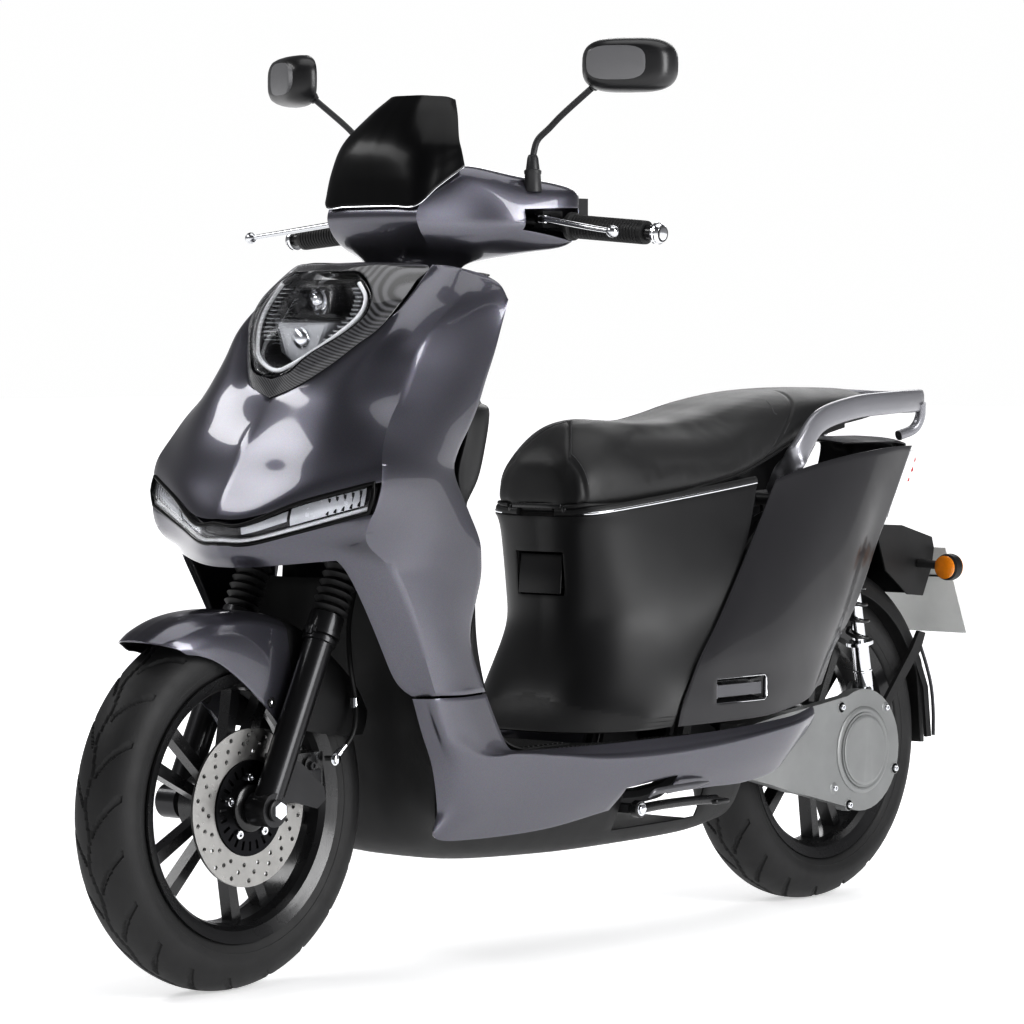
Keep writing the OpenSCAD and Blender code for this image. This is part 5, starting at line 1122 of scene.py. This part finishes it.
def mirror_part(which):
    """Shell, glass or inset of the left mirror."""
    mid, turn = np.array([328, -180, 1295.0]), rot_z(28)
    half_width, half_height, n = 69, 39, 48

    def ring(y, s, dx=0, dz=0):
        a = np.arange(n) * 2 * math.pi / n
        c, d = np.cos(a), np.sin(a)
        return np.stack([dx + half_width * s * np.sign(c) * np.abs(c) ** 0.6, np.full(n, y),
                         dz + half_height * s * np.sign(d) * np.abs(d) ** 0.66], 1)
    if which == "shell":
        rings = [ring(13, 0.90), ring(16.5, 0.93), ring(17, 0.97), ring(14, 1), ring(6, 0.995),
                 ring(-4, 0.96), ring(-13, 0.89),
                 ring(-19, 0.81), ring(-22.5, 0.70), ring(-24, 0.55), ring(-24.4, 0.3)]
    elif which == "glass":
        rings = [ring(10, 0.895), ring(14.5, 0.895), ring(15, 0.88)][::-1]
    else:
        rings = [ring(-14, 0.62, dx=-14, dz=2), ring(-24.6, 0.62, dx=-14, dz=2),
                 ring(-25.4, 0.58, dx=-14, dz=2)]
    return turned_over(loft([r @ turn.T + mid for r in rings]))


for side_name, change in (("left", lambda p: p), ("right", flipped)):
    body = side_name + "_mirror"
    piece("mirror_shell_" + side_name, change(mirror_part("shell")), body, SHELL, node="mirror_" + side_name)
    piece("mirror_glass_" + side_name, change(mirror_part("glass")), body, GLASS)
    piece("mirror_inset_" + side_name, change(mirror_part("inset")), body, INSET)

# ------------------------------------------------------------------ fork and front wheel


def steer(x, y, s):
    """Point of the steering frame: x left, y back, s along the axis from the ground."""
    return np.array([x, -760 + y * math.cos(CASTER) + s * math.sin(CASTER),
                     -y * math.sin(CASTER) + s * math.cos(CASTER)])


AXIS = np.array([0, math.sin(CASTER), math.cos(CASTER)])
FENDER_SPLIT = -596      # y where the fender's paint ends
fender = panel("fender_panel", FENDER_ROWS, "fork_lower", PAINT, side=-1, creases=[(2, 0.7)], smooth_angle=50,
               node="front_fender")
# the part behind the fork is grained black
fender.data.materials.append(TRIM)
for face in fender.data.polygons:
    if face.center.y > 1e-3 * (FENDER_SPLIT + SHIFT):
        face.material_index = 1
collar = []
for s0, r in ((518, 25), (528, 26.5)):
    collar.append(turned(steer(85, -36.7, s0), AXIS, [(0, 21.2), (1, r), (7, r), (8, 21.2)], 40))
collar.append(round_box(steer(85, -60, 530), (10, 12, 16), 2, rot=rot_x(-26)))
collar.append(bolt(steer(92, -60, 530), (1, 0, 0), 4, 4))
piece("fork_collars", both(join(collar)), "fork_lower", FORK)
bolts = [bolt((61.5, -639, 402), (1, 0, 0.1), 7.5, 5), bolt((60.5, -560, 400), (1, 0, 0.1), 6, 5)]
piece("fender_bolts", both(join(bolts)), "fork_lower", BLACKCAST)
piece("fender_bolt_studs", both(turned((65, -639, 402.3), (1, 0, 0.1), [(0, 3.4), (1.2, 3.2), (1.8, 2)], 20)),
      "fork_lower", CHROME)
hose_points = [(72, -540, 318), (84, -528, 322), (88, -498, 352), (74, -478, 396), (70, -484, 446),
               (54, -470, 500),
               (48, -452, 548)]
piece("brake_hose_tube", tube_mesh(hose_points, 3.6, n=12, k=10, up=(1, 0, 0)), "fork_lower", RUBBER,
      node="brake_hose")
hose_fit = [turned((84, -528, 322), (0.15, 0.6, 0.6), [(-8, 6), (8, 6), (9, 4.5), (20, 4.5)], 24),
            turned((73, -479, 392), (-0.1, 0.1, 1), [(-7, 6.4), (7, 6.4)], 24),
            bolt((92, -540, 318), (1, 0, 0), 7, 6, True)]
piece("hose_fittings", join(hose_fit), "fork_lower", CHROME)
cal = [bolt((73, -570, 278), (1, 0, 0), 6, 5), bolt((73, -568, 310), (1, 0, 0), 6, 5),
       round_box((72, -566, 294), (6, 34, 22), 3), bolt((82, -655, 300), (1, 0, 0), 6, 5)]
piece("caliper_bolts", join(cal), "fork_lower", STEEL)
piece("caliper_pins", join([turned((56, -590, z), (0, 1, 0), [(0, 4), (44, 4), (45, 3)], 20)
                            for z in (318, 268)]), "fork_lower", CHROME)
axle_cover = turned(FRONT_AXLE + np.array([109.6, 0, 0]), (1, 0, 0), [(-3, 15), (0.5, 15), (1.5, 13)], 40)
piece("fork_axle_washers", both(axle_cover), "fork_lower", STEEL)


def tyre_mesh(axle, r, w, body, name, node):
    """Tyre carcass with tread grooves cut into its crown."""
    half = np.array([[r, 0], [r - 1.5, w * 0.14], [r - 6, w * 0.27], [r - 14, w * 0.38], [r - 26, w * 0.465],
                     [r - 40, w * 0.5], [r - 53, w * 0.475], [r - 64, w * 0.435], [r - 67, 42.2]], float)
    whole_curve = np.vstack([half[::-1] * np.array([1, -1]), half[1:]])
    t = np.linspace(0, len(whole_curve) - 1, 97)
    prof = on_curve(whole_curve, t)
    na = 720                 # steps around the tyre
    a = np.arange(na) * 2 * math.pi / na
    rad = np.repeat(prof[:, 0][None], na, 0)
    x = np.repeat(prof[:, 1][None], na, 0)
    half_w = w / 2
    pos = np.abs(x) / half_w
    sx = np.sign(x)
    pitch = 2 * math.pi / 20  # twenty blocks a side
    sweep = a[:, None] + 0.34 * pos ** 0.7
    phase = ((sweep + np.where(sx > 0, pitch / 2, 0)) / pitch) % 1.0
    lug = (phase < 0.13) & (pos > 0.16) & (pos < 0.86) & (rad > r - 34)
    zig = np.abs(x - 3.2 * np.sin(a * 18)[:, None]) < 2.3
    rad = rad - np.where(lug, 3.4, 0) - np.where(zig & (rad > r - 4), 3.0, 0)
    rings_n = prof.shape[0]
    verts = np.stack([x, axle[1] + rad * np.cos(a)[:, None], axle[2] + rad * np.sin(a)[:, None]], 2)
    inside = np.array([[r - 75, -37.6], [r - 75, 37.6]])
    n = rings_n + 2
    rim_v = np.stack([np.repeat(inside[:, 1][None], na, 0), axle[1] + inside[:, 0] * np.cos(a)[:, None],
                      axle[2] + inside[:, 0] * np.sin(a)[:, None]], 2)
    allv = np.concatenate([verts, rim_v[:, ::-1]], 1).reshape(-1, 3)
    faces = []
    for i in range(na):
        j0, j1 = i * n, (i + 1) % na * n
        for k in range(n):
            k2 = (k + 1) % n
            faces.append((j0 + k, j1 + k, j1 + k2, j0 + k2))
    piece(name, (allv, faces), body, TYRE, 35, node)


tyre_mesh(FRONT_AXLE, 258, 100, "front_wheel", "tyre_front_tread", "front_tyre")
tyre_mesh(REAR_AXLE, 256, 112, "rear_wheel", "tyre_rear_tread", "rear_tyre")


def side_rings(axle, radii, wall, body, name):
    """Fine raised rings on both tyre walls; wall gives (radii, half widths)."""
    a = np.linspace(0, 2 * math.pi, 121)
    parts = []
    for r in radii:
        x = np.interp(r, *wall)
        for s in (-1, 1):
            line = np.stack([np.full(121, s * x), axle[1] + r * np.cos(a), axle[2] + r * np.sin(a)], 1)
            parts.append(tube_mesh(line, 0.8, 0.8, n=6, k=1, up=(1, 0, 0), closed=True, smooth=False))
    piece(name, join(parts), body, TYRE)


side_rings(FRONT_AXLE, (203, 212), ([194, 205, 218], [43.2, 47.2, 49.8]), "front_wheel", "tyre_front_rings")
side_rings(REAR_AXLE, (201, 210), ([192, 203, 216], [48.6, 53, 55.9]), "rear_wheel", "tyre_rear_rings")
disc_bolts = []
for a in np.radians([20, 92, 164, 236, 308]):
    disc_bolts.append(bolt(FRONT_AXLE + np.array([56.5, 42 * math.cos(a), 42 * math.sin(a)]), (1, 0, 0),
                           6.5, 5))
piece("disc_bolts", join(disc_bolts), "front_wheel", CHROME)
hubcap = join([turned(FRONT_AXLE + np.array([56, 0, 0]), (1, 0, 0),
                      [(-6, 33), (4, 33), (6, 30), (6, 16), (3, 14)], 48),
               turned(FRONT_AXLE + np.array([-42, 0, 0]), (-1, 0, 0),
                      [(-1, 38), (3, 37), (5, 30), (6, 16)], 48)])
piece("front_hub_caps", hubcap, "front_wheel", BLACKCAST)

# ------------------------------------------------------------------ rear suspension and drive

case_at = (117, 678, 246)
case_bolts = ((620, 318), (640, 160), (765, 210), (600, 190), (740, 310))
bosses = [turned((110, *p), (1, 0, 0), [(-4, 10), (8, 9.4), (9, 8)], 32) for p in case_bolts]
rings = [turned(case_at, (1, 0, 0), [(-2, 70), (2, 70), (4, 67), (4, 62), (2.6, 60)], 72),
         turned(case_at, (1, 0, 0), [(0, 56), (6.4, 56), (7.4, 54), (7.4, 46), (6.8, 44), (6.8, 0)], 72)]
piece("motor_cover", join(rings + bosses), "swing_unit", CAST)
piece("motor_bolts", join([bolt((118.5, *p), (1, 0, 0), 5, 4.5) for p in case_bolts]), "swing_unit", CHROME)
hug_half = [(0, 288), (32, 286), (54, 274), (62, 246)]
hug = [[(p[0], REAR_AXLE[1] + p[1] * math.cos(math.radians(a)),
         REAR_AXLE[2] + p[1] * math.sin(math.radians(a)))
        for p in hug_half] for a in range(104, 28, -15)]
hug += [[(0, 941, 350), (32, 940, 350), (52, 932, 350), (58, 908, 348)],
        [(0, 950, 235), (30, 949, 235), (46, 944, 236), (50, 930, 238)]]
panel("hugger_panel", hug, "swing_unit", TRIM, side=-1, node="rear_hugger")


def bar_plate(points, x, w, bevel=1.2):
    """Flat bar in the y-z plane with chamfered edges."""
    p = np.array(points, float)
    c = p.mean(0)
    small = c + (p - c) * (1 - bevel / np.linalg.norm(p - c, axis=1, keepdims=True))
    area = 0.5 * np.sum(p[:, 0] * np.roll(p[:, 1], -1) - np.roll(p[:, 0], -1) * p[:, 1])
    rings = [(x - w / 2, small), (x - w / 2 + bevel, p), (x + w / 2 - bevel, p), (x + w / 2, small)]
    part = np.array([(xx, y, z) for xx, q in rings for y, z in q]), ring_faces(4, len(p))
    return turned_over(part) if area < 0 else part


struts = join([bar_plate([(790, 300), (812, 300), (905, 392), (918, 420), (900, 424), (880, 396)], 67.5, 7),
               bar_plate([(764, 300), (812, 300), (816, 252), (766, 252)], 67.5, 7),
               bar_plate([(884, 398), (902, 398), (936, 330), (945, 246), (932, 246), (922, 330)], 61, 6)])
piece("hugger_struts", both(struts), "swing_unit", TRIM)
piece("hugger_edge", both(tube_mesh([(69, 906, 398), (69.5, 922, 366), (68, 938, 330), (66, 947, 290),
                                     (65, 949, 248)],
                                    1.6, 3.4, n=10, k=8, up=(1, 0, 0))), "swing_unit", STRIPE)
piece("hugger_bolts", join([bolt((71, *p), (1, 0, 0), 6.5, 6, True) for p in ((776, 288), (776, 262))]),
      "swing_unit", CHROME)

low, top = np.array([90, 722, 338.0]), np.array([90, 668, 612.0])
sdir = (top - low) / np.linalg.norm(top - low)
across = np.array([1.0, 0, 0])
TURNS, TURN_STEPS, WIRE, COIL_RADIUS = 6, 24, 3.2, 17.5
SEAT_LOW, SEAT_TOP = 84, 24      # spring seats: distance from the lower eye, and from the upper one
rise = np.linalg.norm(top - low) - SEAT_TOP - SEAT_LOW - 2 * WIRE - 2
coil = []
for i in range(TURN_STEPS * TURNS + 1):
    a = 2 * math.pi * i / TURN_STEPS
    coil.append(low + (SEAT_LOW + 1 + WIRE + rise * i / (TURN_STEPS * TURNS)) * sdir
                + COIL_RADIUS * (math.cos(a) * across + math.sin(a) * np.cross(across, sdir)))
piece("shock_coils", both(tube_mesh(coil, WIRE, n=12, k=2, up=sdir)), "chassis", BLACKCAST,
      node="shock_springs")
piece("shock_collars", both(join([
    turned(low + 76 * sdir, sdir, [(0, 18), (1, 22.5), (5, 22.5), (6, 18)], 40),
    turned(low + 30 * sdir, sdir, [(0, 14.2), (1, 15.4), (4, 15.4), (5, 14.2)], 40)])), "shock_lower", CHROME)

stand = [(168, 48, 206), (168, 100, 208), (168, 170, 208), (168, 228, 206)]
leg = join([tube_mesh(stand, 7, 8, n=16, k=8, up=(1, 0, 0), power=0.8),
            turned((162, 42, 206), (1, 0, 0), [(0, 12), (1, 13), (11, 13), (12, 12), (12, 5.2), (0, 5.2)],
                   40),
            round_box((168, 231, 203), (28, 34, 8), 3)])
piece("stand_leg", leg, "stand", BLACKCAST, node="side_stand")
piece("stand_bolt", bolt((174.4, 42, 206), (1, 0, 0), 8, 4, True), "chassis", CHROME)
lip = [(199, 28, 226), (203, 40, 234), (203, 80, 236), (201, 140, 237), (196, 176, 238)]
piece("stand_lip", tube_mesh(lip, 3.2, 5.0, n=12, k=8, scale=[0.3, 1, 1, 1, 0.3]), "chassis", STRIPE)

# ------------------------------------------------------------------ seat


def seat_rings(k, inset=0.0):
    """Closed rings of the cushion, shrunk by inset mm."""
    gg = np.array(SEAT_HALF, float)
    # the cover reaches down over the pan, most at the nose
    skirt = np.interp(gg[:, 0, 1], [0, 170, 330], [16, 12, 0])
    for column, share in ((3, 0.3), (4, 1), (5, 1), (6, 1)):
        gg[:, column, 2] -= share * skirt
    gg = patch(gg, k)
    gg[..., 0] = np.maximum(gg[..., 0], 0)
    rings = []
    for r in gg:
        ring = np.vstack([r, (r * np.array([-1, 1, 1]))[-2:0:-1]])
        if inset:
            c = ring.mean(0)
            d = ring - c
            ring = c + d * (1 - inset / np.maximum(np.linalg.norm(d, axis=1, keepdims=True), 1))
        rings.append(ring)
    return rings


def coords(items, what):
    """An (n, 3) array of one attribute of mesh vertices or polygons."""
    flat = np.zeros(len(items) * 3)
    items.foreach_get(what, flat)
    return flat.reshape(-1, 3)


FILL_FRAMES = 20         # frames of cloth simulation
FILL_CAP = 0.007         # most that the cover moves, metres
seat = piece("seat_pad", loft(seat_rings(6, 5.0)), "seat", VINYL, 60, node="seat_cushion")
bm = bmesh.new()
bm.from_mesh(seat.data)
bmesh.ops.recalc_face_normals(bm, faces=bm.faces)
bm.to_mesh(seat.data)
bm.free()
remesh = seat.modifiers.new("voxels", "REMESH")
remesh.mode = "VOXEL"
remesh.voxel_size = 0.005
bake(seat)
start = coords(seat.data.vertices, "co")
pins = seat.vertex_groups.new(name="held")
base_z = np.interp(start[:, 1], [-0.03, 0.13, 0.3, 0.376, 0.476, 0.6, 0.75],
                   [0.652, 0.664, 0.695, 0.715, 0.743, 0.765, 0.786])
for i in np.where(start[:, 2] < base_z + 0.012)[0]:
    pins.add([int(i)], 1.0, "REPLACE")
cloth = seat.modifiers.new("fill", "CLOTH")
cs = cloth.settings
cs.quality = 5
cs.use_pressure = True
cs.uniform_pressure_force = 4
cs.effector_weights.gravity = 0
cs.vertex_group_mass = "held"
cs.tension_stiffness = cs.compression_stiffness = 25
cs.shear_stiffness = 12
cs.bending_stiffness = 6
scene.frame_start, scene.frame_end = 1, FILL_FRAMES
for number in range(1, FILL_FRAMES + 1):
    scene.frame_set(number)
settled = seat.evaluated_get(bpy.context.evaluated_depsgraph_get())
moved = coords(settled.data.vertices, "co")
seat.modifiers.clear()
step_v = moved - start
size = np.linalg.norm(step_v, axis=1, keepdims=True)
step_v *= np.minimum(1, FILL_CAP / np.maximum(size, 1e-9))
seat.data.vertices.foreach_set("co", (start + step_v).ravel())
scene.frame_set(1)
smooth_mod = seat.modifiers.new("relax", "SMOOTH")
smooth_mod.factor = 0.5
smooth_mod.iterations = 8
sub = seat.modifiers.new("fine", "SUBSURF")
sub.levels = sub.render_levels = 1
bake(seat)
co, nrm = coords(seat.data.vertices, "co"), coords(seat.data.vertices, "normal")
SEAM_WIDTH = 0.0035      # metres


def front_seam_y(x, z):
    """The nose seam: furthest back in the middle of the top, down at the nose's front corners."""
    return np.maximum(0.045 - 1.2 * np.abs(x), -0.018)


def rear_seam_y(x, z):
    """The rear seam climbs from the side over the step of the pillion."""
    return 0.395 + np.maximum(z - 0.72, 0) * 1.25 - 0.02


dent = 0.0022 * np.exp(-((co[:, 1] - front_seam_y(co[:, 0], co[:, 2])) / SEAM_WIDTH) ** 2)
side_zone = np.clip((np.abs(co[:, 0]) - 0.03) / 0.03, 0, 1)
dent += 0.0020 * np.exp(-((co[:, 1] - rear_seam_y(co[:, 0], co[:, 2])) / SEAM_WIDTH) ** 2) * side_zone
seat.data.vertices.foreach_set("co", (co - nrm * dent[:, None]).ravel())
# the nose in front of the seam takes the darker vinyl, whose darker tone is painted shade of the front face
seat.data.materials.append(VINYL_NOSE_PAINTED_SHADE)
centres = coords(seat.data.polygons, "center")
nose = centres[:, 1] < front_seam_y(centres[:, 0], centres[:, 2])
seat.data.polygons.foreach_set("material_index", nose.astype(np.int32))
finish_mesh(seat, 60)

# stitches laid on the pad beside each seam
bpy.context.view_layer.update()
tree = BVHTree.FromPolygons([v.co for v in seat.data.vertices],
                            [tuple(p.vertices) for p in seat.data.polygons])
stitches = []


def lay_stitches(y_of, first, last, count):
    """Short threads behind the seam, found by casting from inside the pad at angles in degrees."""
    offset = 0.006
    hits = []
    for a in np.radians(np.linspace(first, last, count)):
        y = 0.1
        for _ in range(12):
            origin = Vector((0, y, 0.74 if y > 0.3 else 0.70))
            hit = tree.ray_cast(origin, Vector((math.cos(a), 0, math.sin(a))))[0]
            if hit is None:
                return
            y = y + 0.6 * (float(y_of(hit.x, hit.z)) + offset - y)
        hits.append(np.array(hit) * 1000 - np.array([0, SHIFT, 0]))
    for p, q in zip(hits[:-1], hits[1:]):
        d = q - p
        if np.linalg.norm(d) < 14:
            stitches.append(tube_mesh([p + d * 0.12, p + d * 0.5, p + d * 0.88], 0.55, n=6, k=1,
                                      up=(0.3, 1, 0.2)))


lay_stitches(front_seam_y, -8, 188, 130)
lay_stitches(rear_seam_y, 8, 66, 48)
lay_stitches(rear_seam_y, 114, 172, 48)
piece("seat_stitches", join(stitches), "seat", THREAD)

# welt along the cushion's lower edge, and the hinge below its nose
rim_line = [r[np.argmin(np.where(r[:, 0] > 0, r[:, 2] + 0.4 * (1000 - r[:, 0]), 1e9))] for r in seat_rings(4)]
rim_line = np.array(rim_line[1:-1]) + np.array([-3, 0, 2])
piece("seat_welt", both(tube_mesh(rim_line, 3.2, 3.2, n=10, k=1)), "seat", TRIM)
hinge = join([round_box((0, 12, 655), (96, 16, 8), 2),
              turned((-30, 14, 652), (1, 0, 0), [(0, 6.2), (60, 6.2)], 24)])
piece("seat_hinge_leaf", hinge, "seat", BLACKCAST)
piece("seat_hinge_base", join([round_box((s * 52, 13, 650), (8, 16, 12), 2) for s in (-1, 1)]), "chassis",
      BLACKCAST)
